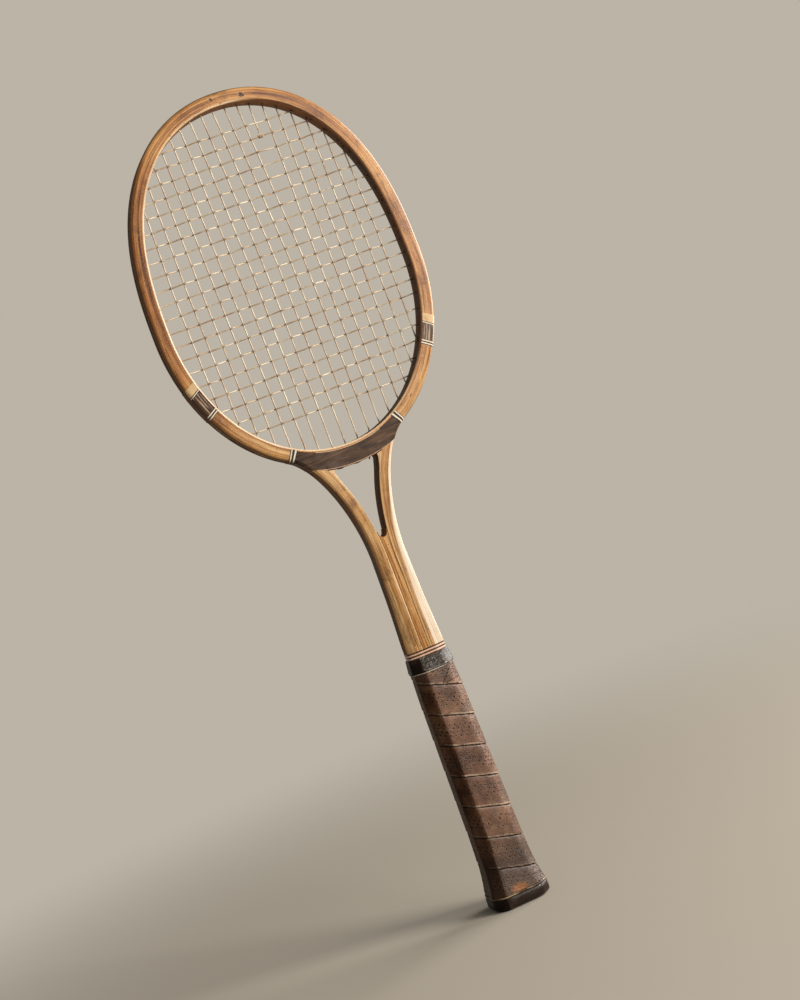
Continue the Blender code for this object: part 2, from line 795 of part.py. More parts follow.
def make_wedge():
    """The centre wedge between the liners, hollowed above into the window's round lower end."""
    top = liner_top()

    def face(length):
        return BOW.at(length, RING_OUT + liner_wall(length, top) + GAP)

    tip = solve(lambda length: face(length)[1], WEDGE_TOP + WEDGE_RISE, LEG_START, SHAFT_START)
    tip_x = face(tip)[0] - GAP
    half = []
    for angle in np.linspace(0, math.pi / 2, APEX_STEPS + 1):
        half.append((tip_x * math.sin(angle), WEDGE_TOP + WEDGE_RISE * (1 - math.cos(angle))))
    half.append(face(tip))
    half += [face(length) for length in BOW_LENGTHS if length > tip + LEAST_STATION]
    outline = half + [mirrored(point) for point in half[:0:-1]]
    return plate("centre_wedge", outline, -HALF_DEPTH, HALF_DEPTH, "pale")


# Wraps and lines across the bow

def wrap_section(length):
    """A C that lies on the front, the outer side and the back of the bow."""
    swell, corner, middle = side_shape(length)
    section = []
    for lift in (GAP + WRAP_WALL, GAP):
        half = [
            (RING_IN - WRAP_INNER_MARGIN - INNER_EDGE, HALF_DEPTH + lift),
            (corner - swell, HALF_DEPTH + lift),
            (middle * (corner + lift) - swell - lift, HALF_DEPTH + lift - middle * (corner + lift)),
            (-swell - lift, HALF_DEPTH - corner),
        ]
        run = [(depth, -y) for depth, y in half] + half[::-1]
        section += run if lift > GAP else run[::-1]
    return section


def make_wrap(name, side, start, end, colour, steps=1, leans=(0.0, 0.0)):
    rings = []
    for share in np.linspace(0, 1, steps + 1):
        length = start + share * (end - start)
        lean = leans[0] + share * (leans[1] - leans[0])
        rings.append(bow_ring(length, side, wrap_section(length), lean))
    return loft(name, rings, colour)


def make_wraps():
    for label, side in (("left", -1), ("right", 1)):
        middle = bow_length_at(HEAD_WIDEST_HEIGHT - TAN_DROPS[label])
        tan_start = middle - TAN_WIDTH / 2
        tan_end = middle + TAN_WIDTH / 2
        make_wrap(f"tan_wrap_{label}", side, tan_start, tan_end, "tan", leans=(TAN_LEAN, TAN_LEAN))
        sleeve_start = tan_end + GAP
        sleeve_end = sleeve_start + SLEEVE_LENGTHS[label]
        leans = (TAN_LEAN, LINE_LEAN)
        make_wrap(f"shoulder_sleeve_{label}", side, sleeve_start, sleeve_end, "walnut", steps=2, leans=leans)
        for k, name in enumerate(("upper", "lower")):
            start = sleeve_end + GAP + k * SHOULDER_LINE_STEP
            leans = (LINE_LEAN, LINE_LEAN)
            make_wrap(f"shoulder_line_{name}_{label}", side, start, start + LINE_WIDTH, "ivory", leans=leans)
        for place, name in zip(THROAT_LINES, ("inner", "outer")):
            start = LEG_START + place - LINE_WIDTH / 2
            make_wrap(f"throat_line_{name}_{label}", side, start, start + LINE_WIDTH, "ivory")


# The handle

def octagon(half_width, half_depth, chamfer):
    """The corners of a chamfered box round the handle, from the front's left corner towards +X."""
    x, y = half_width - chamfer, half_depth - chamfer
    front = [(-x, -half_depth), (x, -half_depth), (half_width, -y), (half_width, y)]
    return front + [(-a, -b) for a, b in front]


def grown_octagon(height, grow):
    """The wood's octagon at a height, every side moved out by the same distance."""
    half_width, half_depth, chamfer = wood_at(height)
    return octagon(half_width + grow, half_depth + grow, chamfer + grow * (2 - math.sqrt(2)))


def make_pallets():
    """The two shaped cheeks that are glued to the front and the back of the shaft to make the handle."""
    face = HALF_DEPTH + GAP
    for name, side in (("handle_pallet_front", -1), ("handle_pallet_back", 1)):
        rings = []
        for height, *_ in HANDLE_PROFILE:
            half_width, half_depth, chamfer = wood_at(height)
            foot = half_width - max(0.0, face - (half_depth - chamfer))
            top = half_width - chamfer
            section = [(-foot, face), (-top, half_depth), (top, half_depth), (foot, face)]
            rings.append([(x, side * y, height) for x, y in section])
        loft(name, rings, "amber")


def corner_pairs(corners, share):
    """Each corner of an outline as two points, set back from it along both sides."""
    points = []
    count = len(corners)
    for k, corner in enumerate(corners):
        here = np.array(corner)
        for other in (corners[k - 1], corners[(k + 1) % count]):
            way = np.array(other) - here
            points.append(here + way / np.linalg.norm(way) * share)
    return points


def turn_shares():
    """Where each of a turn's points lies, as a share of the way round from the middle of the front."""
    height = (GRIP_TOP + GRIP_BOTTOM) / 2
    points = corner_pairs(grown_octagon(height, GAP + LEATHER), GRIP_CORNER_OUT)
    steps = [np.linalg.norm(point - points[k - 1]) for k, point in enumerate(points)]
    places = np.cumsum(steps) - steps[0]
    middle = (places[1] + places[2]) / 2
    return (places - middle) / sum(steps)


def make_grip():
    """One strip of leather wound down the handle, its edges cut level at both ends."""
    shares = turn_shares()
    count = len(shares)
    width = GRIP_PITCH - GRIP_SEAM
    seams_up = math.ceil((GRIP_TOP - GRIP_SEAM_HEIGHT) / GRIP_PITCH)
    first_middle = GRIP_SEAM_HEIGHT + (seams_up + 0.5) * GRIP_PITCH
    rings, middles = [], []
    turns = math.ceil((GRIP_TOP - GRIP_BOTTOM) / GRIP_PITCH) + GRIP_SPARE_TURNS
    for station in range(turns * count):
        turn, place = divmod(station, count)
        middle = first_middle - (turn + shares[place]) * GRIP_PITCH
        upper = min(GRIP_TOP, middle + width / 2)
        lower = max(GRIP_BOTTOM, middle - width / 2)
        if upper - lower < GRIP_LEAST_WIDTH:
            continue
        ring = []
        for height, grow, back in (
            (upper, GAP, GRIP_CORNER_IN),
            (lower, GAP, GRIP_CORNER_IN),
            (lower, GAP + LEATHER, GRIP_CORNER_OUT),
            (upper, GAP + LEATHER, GRIP_CORNER_OUT),
        ):
            x, y = corner_pairs(grown_octagon(height, grow), back)[place]
            ring.append((x, y, height))
        rings.append(ring)
        middles.append((upper, lower))
    gaps = []
    for station in range(len(rings) - count):
        if middles[station][1] > GRIP_BOTTOM:
            gaps.append(middles[station][1] - middles[station + count][0])
    print(f"leather_grip: least gap between turns {min(gaps) * 1000:.2f} mm")
    return loft("leather_grip", rings, "leather")


def tube(name, outer_rings, inner_rings, colour):
    """A body open through its middle, from rings of its outer and its inner side in step."""
    return loft(name, outer_rings + inner_rings[::-1], colour, closed=True)


def level(outline, height):
    return [(x, y, height) for x, y in outline]


def shaft_outline(height, grow):
    """The shaft's own outline above the pallets, as an octagon that clears its rounded corners."""
    half_width = SHAFT_HALF_WIDTH + swell_at(height) + grow
    return octagon(half_width, HALF_DEPTH + grow, EDGE_ROUND + grow * (2 - math.sqrt(2)) - GAP)


def collar_inner(height):
    if height <= HANDLE_TOP:
        return grown_octagon(height, GAP)
    _, half_depth, _ = wood_at(height)
    outline = shaft_outline(height, GAP)
    scale = (half_depth + GAP) / (HALF_DEPTH + GAP)
    return [(x, y * scale) for x, y in outline]


def make_collar():
    """The rubber collar over the top of the grip, and the fine line round its lower edge."""
    base = grown_octagon(COLLAR_BOTTOM, GAP + LEATHER + COLLAR_PROUD)
    heights = [COLLAR_BOTTOM, HANDLE_TOP, COLLAR_TOP]
    inner = [level(collar_inner(height), height) for height in heights]
    top = shaft_outline(COLLAR_TOP, GAP + COLLAR_TOP_WALL)
    shoulder = []
    share = (COLLAR_TOP - heights[1]) / (COLLAR_TOP - COLLAR_BOTTOM)
    for (low_x, low_y), (high_x, high_y) in zip(base, top):
        shoulder.append((high_x + (low_x - high_x) * share, high_y + (low_y - high_y) * share))
    outer = [level(base, COLLAR_BOTTOM), level(shoulder, heights[1]), level(top, COLLAR_TOP)]
    tube("collar", outer, inner, "black")
    heights = (COLLAR_BOTTOM - GAP - COLLAR_LINE, COLLAR_BOTTOM - GAP)
    outer = [level(grown_octagon(height, GAP + LEATHER + COLLAR_PROUD), height) for height in heights]
    inner = [level(grown_octagon(height, GAP), height) for height in heights]
    tube("collar_line", outer, inner, "tan")


def make_trim_rings():
    for k, colour in enumerate(TRIM_COLOURS):
        base = TRIM_BASE + k * (TRIM_WIDTH + GAP)
        heights = (base, base + TRIM_WIDTH)
        outer = [level(shaft_outline(height, GAP + TRIM_WALL), height) for height in heights]
        inner = [level(shaft_outline(height, GAP), height) for height in heights]
        tube(f"shaft_trim_{k + 1}", outer, inner, colour)


def make_butt():
    """The butt cap, a moulded cup over the end of the wood, and the gold line above it."""
    heights = (GOLD_BOTTOM, GOLD_TOP)
    outer = [level(grown_octagon(height, GAP + LEATHER), height) for height in heights]
    inner = [level(grown_octagon(height, GAP), height) for height in heights]
    tube("butt_gold_line", outer, inner, "gold")
    wall = GAP + LEATHER + GAP
    rings = [level(grown_octagon(WOOD_END, wall - CAP_ROUND), 0.0)]
    rings.append(level(grown_octagon(WOOD_END, wall - CAP_ROUND * ROUND_MIDDLE), CAP_ROUND * ROUND_MIDDLE))
    rings.append(level(grown_octagon(WOOD_END, wall), CAP_ROUND))
    rings.append(level(grown_octagon(CAP_TOP, wall), CAP_TOP))
    rings.append(level(grown_octagon(CAP_TOP, GAP), CAP_TOP))
    rings.append(level(grown_octagon(WOOD_END, GAP), CAP_FLOOR))
    loft("butt_cap", rings, "black")


# The strings

def make_string(name, path):
    """A square-sided tube along a path, its sides kept level with the racket's face."""
    path = np.array(path)
    ways = np.diff(path, axis=0)
    ways /= np.linalg.norm(ways, axis=1)[:, None]
    depth_way = np.array([0.0, 1.0, 0.0])
    rings = []
    for k, point in enumerate(path):
        way = ways[max(k - 1, 0)] + ways[min(k, len(ways) - 1)]
        side = np.cross(way, depth_way)
        side /= np.linalg.norm(side)
        up = np.cross(side, way)
        up /= np.linalg.norm(up)
        rings.append([tuple(point + STRING_HALF * (a * side + b * up)) for a, b in SQUARE])
    return loft(name, rings, "gut")


def make_strings():
    paths = {
        "main_string_left": main_string(0, SPARE_HOLE - 1),
        "main_string_right": main_string(SPARE_HOLE, MAINS - 1),
        "cross_string": cross_string(),
        "short_main_string": short_string(),
    }
    for name, path in paths.items():
        make_string(name, path)
    crosses = paths["cross_string"]
    for name in ("main_string_left", "main_string_right", "short_main_string"):
        gap = least_distance(crosses, paths[name]) - 2 * STRING_HALF
        print(f"{name}: least gap to the cross string {gap * 1000:.2f} mm")
    for name in ("main_string_left", "main_string_right", "cross_string"):
        gap = least_distance(paths[name], paths[name], apart=MAIN_STEP / 2) - 2 * STRING_HALF
        print(f"{name}: least gap to itself {gap * 1000:.2f} mm")


def make_hole_cutters():
    """All the string holes as one set of square bars, from inside the opening to past the bow."""
    shape = bmesh.new()
    holes = TOP_HOLES + BOTTOM_HOLES + [hole for pair in CROSS_HOLES for hole in pair]
    for hole in holes:
        across = np.array([hole.out[1], -hole.out[0]]) * HOLE_HALF
        rings = []
        for point in (hole.entry - CUT_INSIDE * hole.out, hole.turn + CUT_OUTSIDE * hole.out):
            ring = []
            for shift, depth in SQUARE:
                x, z = point + shift * across
                ring.append((hole.side * x, hole.lane + depth * HOLE_HALF, z))
            rings.append(ring)
        add_bar(shape, rings)
    return finish("string_holes", shape, None)


def main():
    for obj in list(bpy.data.objects):
        bpy.data.objects.remove(obj)
    racket = bpy.data.objects.new("racket", None)
    racket.location.z = -HOLD_HEIGHT
    bpy.context.scene.collection.objects.link(racket)
    holes = make_hole_cutters()
    for piece in (make_outer_ply(), make_core_ply(), make_inner_ply(), make_yoke()):
        cut(piece, holes)
    make_overlays()
    make_liner("throat_liner_left", -1)
    make_liner("throat_liner_right", 1)
    make_wedge()
    make_wraps()
    make_pallets()
    make_grip()
    make_collar()
    make_trim_rings()
    make_butt()
    make_strings()


main()
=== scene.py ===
"""The looks of the wooden tennis racket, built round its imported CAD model.

The bow, the wraps, the grip and the strings are made again here with finer sections, from the same sizes as the
CAD model. Heights are measured from the butt end, as there, and all sizes are in metres.
"""

import json
import math

import bmesh
import bpy
import numpy as np
from mathutils import Matrix, Vector

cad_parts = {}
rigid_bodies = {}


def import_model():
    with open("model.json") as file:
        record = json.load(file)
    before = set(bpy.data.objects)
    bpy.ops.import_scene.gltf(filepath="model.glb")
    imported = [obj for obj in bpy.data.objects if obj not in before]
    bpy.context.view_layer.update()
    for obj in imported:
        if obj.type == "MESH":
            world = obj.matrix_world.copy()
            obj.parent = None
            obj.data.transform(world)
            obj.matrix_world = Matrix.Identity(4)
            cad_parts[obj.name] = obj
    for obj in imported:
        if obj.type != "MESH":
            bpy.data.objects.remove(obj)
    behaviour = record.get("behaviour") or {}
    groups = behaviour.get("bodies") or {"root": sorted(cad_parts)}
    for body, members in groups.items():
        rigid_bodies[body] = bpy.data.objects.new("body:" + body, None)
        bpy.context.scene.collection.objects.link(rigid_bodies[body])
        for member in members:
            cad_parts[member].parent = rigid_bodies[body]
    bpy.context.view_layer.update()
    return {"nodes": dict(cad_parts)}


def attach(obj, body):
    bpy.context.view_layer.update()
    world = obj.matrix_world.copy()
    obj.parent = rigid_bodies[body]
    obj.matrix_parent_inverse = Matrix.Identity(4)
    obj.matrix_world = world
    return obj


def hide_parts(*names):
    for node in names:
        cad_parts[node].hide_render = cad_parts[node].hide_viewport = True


for leftover in list(bpy.data.objects):
    bpy.data.objects.remove(leftover)
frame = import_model()

# Sizes of the CAD model
LENGTH = 0.6860
HEAD_WIDTH = 0.2272
HEAD_WIDEST_HEIGHT = 0.5172
HEAD_LOWER_REACH = 0.1371
UPPER_POWERS = (2.10, 2.47)
LOWER_POWERS = (2.06, 2.00)
HALF_DEPTH = 0.00915
HOLD_HEIGHT = 0.0750
GAP = 0.0003
OUTER_PLY = 0.0028
CORE_IN = 0.0087
RING_OUT = 0.0090
RING_IN = 0.0112
LEG_START_X = 0.0490
LEG_UPPER_PULL = 0.0200
LEG_LOWER_PULL = 0.0450
SHAFT_HALF_WIDTH = 0.0134
SHAFT_TOP = 0.2960
LINER = 0.0012
LINER_FLARE = 0.0026
LINER_FLARE_LENGTH = 0.0160
YOKE_DROP = 0.0061
OVERLAY_END = 0.0030
SHAFT_PROFILE = ((0.29600, 0.0000), (0.25644, 0.0009), (0.22032, 0.0028))  # height, swell
HANDLE_PROFILE = (  # height, swell, cheek, chamfer
    (0.2100, 0.0026, 0.0006, 0.0033),
    (0.1985, 0.0022, 0.0036, 0.0066),
    (0.1780, 0.0030, 0.0042, 0.0070),
    (0.0550, 0.0047, 0.0057, 0.0072),
    (0.0310, 0.0056, 0.0065, 0.0072),
    (0.0180, 0.0073, 0.0080, 0.0074),
    (0.0113, 0.0086, 0.0091, 0.0076),
    (0.0028, 0.0088, 0.0093, 0.0076),
)
WOOD_END = HANDLE_PROFILE[-1][0]
LEATHER = 0.0015
GRIP_PITCH = 0.0260
GRIP_SEAM_HEIGHT = 0.0300
GRIP_TOP = 0.1988
GRIP_BOTTOM = 0.0113
COLLAR_TOP = 0.2118
COLLAR_BOTTOM = 0.2003
COLLAR_PROUD = 0.0010
COLLAR_LINE = 0.0009
TRIM_BASE = 0.2121
TRIM_WIDTH = 0.0010
GOLD_BOTTOM = 0.0097
GOLD_TOP = 0.0108
CAP_TOP = 0.0094
CAP_ROUND = 0.0028
TAN_HEIGHTS = {"left": 0.4696, "right": 0.4589}
TAN_WIDTH = 0.0072
TAN_LEAN = 0.24
LINE_LEAN = 0.10
SLEEVE_LENGTHS = {"left": 0.0188, "right": 0.0138}
LINE_WIDTH = 0.0010
SHOULDER_LINE_STEP = 0.0022
THROAT_LINES = (0.0017, -0.0008)
MAINS = 17
MAIN_STEP = (HEAD_WIDTH - 2 * RING_IN) / 18.84
MAIN_BEND_HEIGHT = 0.5440
TOP_HOLE_STEP = (HEAD_WIDTH - 2 * RING_IN) / 20.28
SPARE_HOLE = 11
OPENING_HEIGHT = 0.3059 - 2 * RING_IN
CROSS_TOP = LENGTH - RING_IN - OPENING_HEIGHT / 14
CROSS_STEPS = ((15, OPENING_HEIGHT / 25.1), (5, OPENING_HEIGHT / 23.2))
LANE = 0.0008
STRING_SINK = 0.0008
WALL_STANDOFF = 0.0012
TURN = 0.0005
LANE_RUN = 0.0150
NEAR_WALL = 0.0050
HOLE_END = 0.0020
WINDOW_HOLES = (0.0075, 0.0145)
WINDOW_TAIL = 0.0020

# Sizes of the looks alone
STRING_RADIUS = 0.00056
STRING_SIDES = 8
STRING_STEP = 0.0014
LOOP_STEP = 0.0040
WEAVE = 0.00165
WINDOW_DROP = 0.0001
HOLE_RADIUS = 0.00082
KNOT = (26, 2.2, 0.0042, 0.00115)  # points, turns, length and radius of the short string's knot
CROSSING_DARKENING = 0.0010  # how far a crossing darkens the strings
WALL_STAIN_AND_SHADE = {-1: 0.0022, 1: 0.0055}  # how far out of the wall a string is dark, on the left and the right; the longer reach on the right is a painted shadow of the frame
YOKE_EDGE = 0.0009
INNER_EDGE = 0.0012
PLY_SEAM = 0.00002
WALL_BELOW = 0.0018
GROOVE_HALF = 0.0019
GROOVE_DEPTH = 0.0016
GROOVE_RUN_OUT = 0.0060
# The rounding of the bow's outer corners: height, reach across, reach in depth, flatness
ROUNDING = (
    (0.2105, 0.0086, 0.0042, 0.70),
    (0.2400, 0.0084, 0.0040, 0.60),
    (0.3000, 0.0060, 0.0034, 0.35),
    (0.3450, 0.0036, 0.0033, 0.00),
)
BEAD_PROUD = 0.00005
BEAD_SUNK = 0.0003
FACING_IN = 0.0026
FACING_END_IN = 0.0030
FACING_END_LIFT = 0.00022
LINE_LIFT = 0.00028
LINE_SUNK = 0.0002
LINER_EDGE = 0.00045
WRAP_IN = RING_IN - 0.0010
WRAP_SUNK = 0.00005
# How far the wraps stand out of the bow
LIFTS = {"tan": 0.00028, "line": 0.00034, "sleeve": 0.00026, "ground": 0.00022, "throat_line": 0.00036,
         "throat_ground": 0.00024}
BAND_EDGE = 0.0007
GRIP_SEAM = 0.0003
GRIP_SWAY = 0.07
# Across the leather strip, from its upper to its lower edge: place in half widths, thickness in leathers
STRIP = ((1.0, 0.20), (0.99, 0.45), (0.95, 0.72), (0.85, 0.86), (0.5, 0.93), (0.0, 0.95), (-0.5, 0.96),
         (-0.80, 1.0), (-0.93, 1.06), (-0.98, 1.0), (-0.995, 0.75), (-1.0, 0.30))
STRIP_LEAST = 0.0016
LEATHER_CORNER, COLLAR_CORNER, CAP_CORNER, LINE_CORNER = 0.0022, 0.0030, 0.0028, 0.0026
HEAD_STATIONS = 110
RING_STATIONS = 150
LEG_STATIONS = 34
SHAFT_STATIONS = (0.290, 0.280, 0.270, 0.260, 0.250, 0.240, 0.230, 0.222, 0.216, 0.2125, 0.2106)
AROUND = 96
DENSE = 1200

HANDS = (("left", -1), ("right", 1))
FACES = (("front", -1), ("back", 1))


# Lines

class Run:
    """A smooth line of (x, z) points, read by the length along it. Inwards is to the right of the way."""

    def __init__(self, points, start_way, end_way):
        self.points = np.array(points)
        steps = np.linalg.norm(np.diff(self.points, axis=0), axis=1)
        self.lengths = np.concatenate([[0.0], np.cumsum(steps)])
        self.ways = np.gradient(self.points, self.lengths, axis=0)
        self.ways[0] = start_way
        self.ways[-1] = end_way

    def inward(self, length):
        way = np.array([np.interp(length, self.lengths, self.ways[:, axis]) for axis in (0, 1)])
        way = way / np.linalg.norm(way)
        return np.array([way[1], -way[0]])

    def at(self, length, inward=0.0):
        point = np.array([np.interp(length, self.lengths, self.points[:, axis]) for axis in (0, 1)])
        return point + inward * self.inward(length)

    def depth_of(self, point):
        """How far inwards of the line a point lies, and the length along the line nearest to it."""
        nearest = int(np.argmin(np.linalg.norm(self.points - point, axis=1)))
        length = self.lengths[nearest]
        inward = self.inward(length)
        length += float(np.dot(point - self.points[nearest], (-inward[1], inward[0])))
        return float(np.dot(point - self.at(length), self.inward(length))), length


def oval(angle):
    across, along = UPPER_POWERS if angle <= math.pi / 2 else LOWER_POWERS
    reach = LENGTH - HEAD_WIDEST_HEIGHT if angle <= math.pi / 2 else -HEAD_LOWER_REACH
    x = HEAD_WIDTH / 2 * max(math.sin(angle), 0.0) ** (2 / across)
    return x, HEAD_WIDEST_HEIGHT + reach * abs(math.cos(angle)) ** (2 / along)


def make_bow():
    """The bow's outer side from the crown to the butt, and the lengths where its leg and its shaft start."""
    leave = math.pi - math.asin((LEG_START_X / (HEAD_WIDTH / 2)) ** (LOWER_POWERS[0] / 2))
    points = [oval(angle) for angle in np.linspace(0, leave, DENSE)]
    start = np.array(points[-1])
    way = start - np.array(points[-2])
    upper = start + way / np.linalg.norm(way) * LEG_UPPER_PULL
    end = np.array([SHAFT_HALF_WIDTH, SHAFT_TOP])
    lower = end + np.array([0, LEG_LOWER_PULL])
    for share in np.linspace(0, 1, DENSE)[1:]:
        rest = 1 - share
        bend = rest**3 * start + 3 * rest**2 * share * upper + 3 * rest * share**2 * lower + share**3 * end
        points.append(tuple(bend))
    points += [(SHAFT_HALF_WIDTH, height) for height in np.linspace(SHAFT_TOP, WOOD_END, DENSE)[1:]]
    bow = Run(points, (1, 0), (0, -1))
    return bow, bow.lengths[DENSE - 1], bow.lengths[2 * DENSE - 2]


HEAD = Run([oval(angle) for angle in np.linspace(0, math.pi, DENSE)], (1, 0), (-1, 0))
HEAD_END = HEAD.lengths[-1]
BOW, LEG_START, SHAFT_START = make_bow()


def bow_length_at(height):
    low = BOW.points[:, 1] <= HEAD_WIDEST_HEIGHT
    return float(np.interp(height, BOW.points[low, 1][::-1], BOW.lengths[low][::-1]))


def solve(reading, target, low, high):
    """The value between low and high at which a reading that only falls or only rises meets the target."""
    rising = reading(high) > reading(low)
    for _ in range(40):
        middle = (low + high) / 2
        if (reading(middle) < target) == rising:
            low = middle
        else:
            high = middle
    return (low + high) / 2


def rows_at(rows, height):
    rows = sorted(rows)
    heights = [row[0] for row in rows]
    return [float(np.interp(height, heights, column)) for column in list(zip(*rows))[1:]]


def swell_at(height):
    return rows_at([row[:2] for row in SHAFT_PROFILE + HANDLE_PROFILE], height)[0]


def wood_at(height):
    """Half width, half depth and chamfer of the handle's wood."""
    swell, cheek, chamfer = rows_at(HANDLE_PROFILE, height)
    return SHAFT_HALF_WIDTH + swell, HALF_DEPTH + GAP + cheek, chamfer


def rounding(length):
    """Swell of the bow's outer side, and how its corner is rounded."""
    height = BOW.at(length)[1]
    swell = swell_at(height) if length > SHAFT_START else 0.0
    if height >= HANDLE_PROFILE[0][0]:
        return swell, *rows_at(ROUNDING, height)
    _, half_depth, chamfer = wood_at(height)
    corner = max(HALF_DEPTH - (half_depth - chamfer), INNER_EDGE)
    # Under the collar the shaft's corner runs out into the handle's
    share = max(0.0, (height - GRIP_TOP) / (ROUNDING[0][0] - GRIP_TOP))
    return swell, *(there * share + here * (1 - share) for there, here in zip(ROUNDING[0][1:], (corner, corner, 1.0)))


def surface(length, inset):
    """Half the bow's depth at a distance in from its outer side."""
    _, across, deep, flat = rounding(length)
    share = max(0.0, 1 - inset / across)
    arc = HALF_DEPTH - deep * (1 - math.sqrt(1 - share**2))
    return arc + (HALF_DEPTH - deep * share - arc) * flat


def half_profile(length, inner, count=10):
    """The bow's back surface as (depth, y), from a depth on the flat face round its corner to its outer side."""
    swell, across, _, _ = rounding(length)
    insets = across * (1 - np.cos(np.linspace(math.pi / 2, 0, count)))
    return np.array([(inner, HALF_DEPTH)] + [(inset - swell, surface(length, inset)) for inset in insets])


def lifted(points, lift):
    """A line of (depth, y) points moved out by a distance."""
    ways = np.gradient(points, axis=0)
    ways[-1] = (0, -1)
    ways[0] = (-1, 0)
    ways /= np.linalg.norm(ways, axis=1)[:, None]
    return points + lift * np.stack([ways[:, 1], -ways[:, 0]], axis=1)


# Meshes

def link(obj):
    bpy.context.scene.collection.objects.link(obj)
    return obj


def skin(name, rings, closed=False, shift=0.0, sharp=35, wear=None):
    """A mesh through rings of equally many points. Its map runs along it and round it, in metres.

    The darkening of stain and painted shade, where it is given, is a second map's value at each ring.
    """
    rings = np.array(rings, float)
    count, around = rings.shape[:2]
    middles = rings.mean(axis=1)
    along = np.linalg.norm(np.roll(middles, -1, axis=0) - middles, axis=1)
    us = shift + np.concatenate([[0], np.cumsum(along)])
    widths = np.median(np.linalg.norm(np.roll(rings, -1, axis=1) - rings, axis=2), axis=0)
    vs = np.concatenate([[0], np.cumsum(widths)])
    faces, uvs = [], []
    for i in range(count if closed else count - 1):
        j = (i + 1) % count
        for k in range(around):
            m = (k + 1) % around
            faces.append((i * around + k, i * around + m, j * around + m, j * around + k))
            uvs += [(us[i], vs[k]), (us[i], vs[k + 1]), (us[i + 1], vs[k + 1]), (us[i + 1], vs[k])]
    if not closed:
        faces += [range(around)[::-1], range((count - 1) * around, count * around)]
        uvs += [(us[0], v) for v in vs[:-1]][::-1] + [(us[count - 1], v) for v in vs[:-1]]
    mesh = bpy.data.meshes.new(name)
    mesh.from_pydata((rings.reshape(-1, 3) - (0, 0, HOLD_HEIGHT)).tolist(), [], [tuple(face) for face in faces])
    mesh.uv_layers.new(name="grain").data.foreach_set("uv", np.array(uvs).ravel())
    if wear is not None:
        corners = np.array([loop.vertex_index for loop in mesh.loops]) // around
        pairs = np.stack([np.array(wear)[corners]] * 2, axis=1)
        mesh.uv_layers.new(name="wear").data.foreach_set("uv", pairs.ravel())
    shape = bmesh.new()
    shape.from_mesh(mesh)
    bmesh.ops.recalc_face_normals(shape, faces=shape.faces)
    shape.to_mesh(mesh)
    shape.free()
    obj = link(bpy.data.objects.new(name, mesh))
    smooth(obj, sharp)
    return obj


def smooth(obj, sharp):
    obj.data.shade_smooth()
    obj.data.set_sharp_from_angle(angle=math.radians(sharp))


def cut(obj, cutter, sharp=35):
    """Takes a cutter's shape out of a piece for good."""
    modifier = obj.modifiers.new("cut", "BOOLEAN")
    modifier.operation = "DIFFERENCE"
    modifier.solver = "EXACT"
    modifier.object = cutter
    graph = bpy.context.evaluated_depsgraph_get()
    old = obj.data
    obj.data = bpy.data.meshes.new_from_object(obj.evaluated_get(graph))
    obj.modifiers.clear()
    bpy.data.meshes.remove(old)
    smooth(obj, sharp)


def is_wall(face):
    return abs(face.normal.y) < 0.45 and abs(face.center.y) < HALF_DEPTH - WALL_BELOW


def is_left_wall(face):
    return abs(face.normal.y) < 0.60 and face.normal.x < 0


def is_left(face):
    return face.normal.x < -0.30


def dress(obj, material, slot, *nodes, wall=None, where=is_wall):
    """Gives a piece its material and what it stands for. Wall is the material of its sides, where it differs."""
    obj.data.materials.clear()
    obj.data.materials.append(MATERIALS[material])
    if wall:
        obj.data.materials.append(MATERIALS[wall])
        for face in obj.data.polygons:
            if where(face):
                face.material_index = 1
    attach(obj, "root")
    if nodes:
        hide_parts(*nodes)


def repaint(node, material):
    obj = frame["nodes"][node]
    obj.data.materials.clear()
    obj.data.materials.append(MATERIALS[material])


# Materials

COLOURS = (6, 7, "Base Color", "Color")  # inputs that take a colour


class Nodes:
    """A short way of writing down a node tree."""

    def __init__(self, tree):
        self.tree = tree

    def put(self, node, key, value):
        if isinstance(value, bpy.types.NodeSocket):
            self.tree.links.new(value, node.inputs[key])
        else:
            node.inputs[key].default_value = (*value, 1) if isinstance(value, tuple) and key in COLOURS else value

    def add(self, kind, inputs=None, **settings):
        node = self.tree.nodes.new("ShaderNode" + kind)
        for key, value in settings.items():
            setattr(node, key, value)
        for key, value in (inputs or {}).items():
            self.put(node, key, value)
        return node

    def math(self, operation, *values):
        return self.add("Math", dict(enumerate(values)), operation=operation).outputs[0]

    def chain(self, operation, first, others):
        for other in others:
            first = self.math(operation, first, other)
        return first

    def plus(self, first, *others):
        return self.chain("ADD", first, others)

    def minus(self, first, *others):
        return self.chain("SUBTRACT", first, others)

    def times(self, first, *others):
        return self.chain("MULTIPLY", first, others)

    def size(self, value):
        return self.math("ABSOLUTE", value)

    def hypotenuse(self, first, second):
        return self.math("SQRT", self.plus(self.math("POWER", first, 2.0), self.math("POWER", second, 2.0)))

    def seen(self):
        """1 for the rays that meet the background: the camera's, and those reflected or let through."""
        path = self.add("LightPath").outputs
        return self.chain("MAXIMUM", path["Is Camera Ray"], (path["Is Glossy Ray"], path["Is Transmission Ray"]))

    def show(self, output, first, second, share):
        """The first surface, and by a share the second."""
        mixer = self.add("MixShader", {0: share, 1: first, 2: second})
        self.tree.links.new(mixer.outputs[0], self.tree.nodes[output].inputs["Surface"])


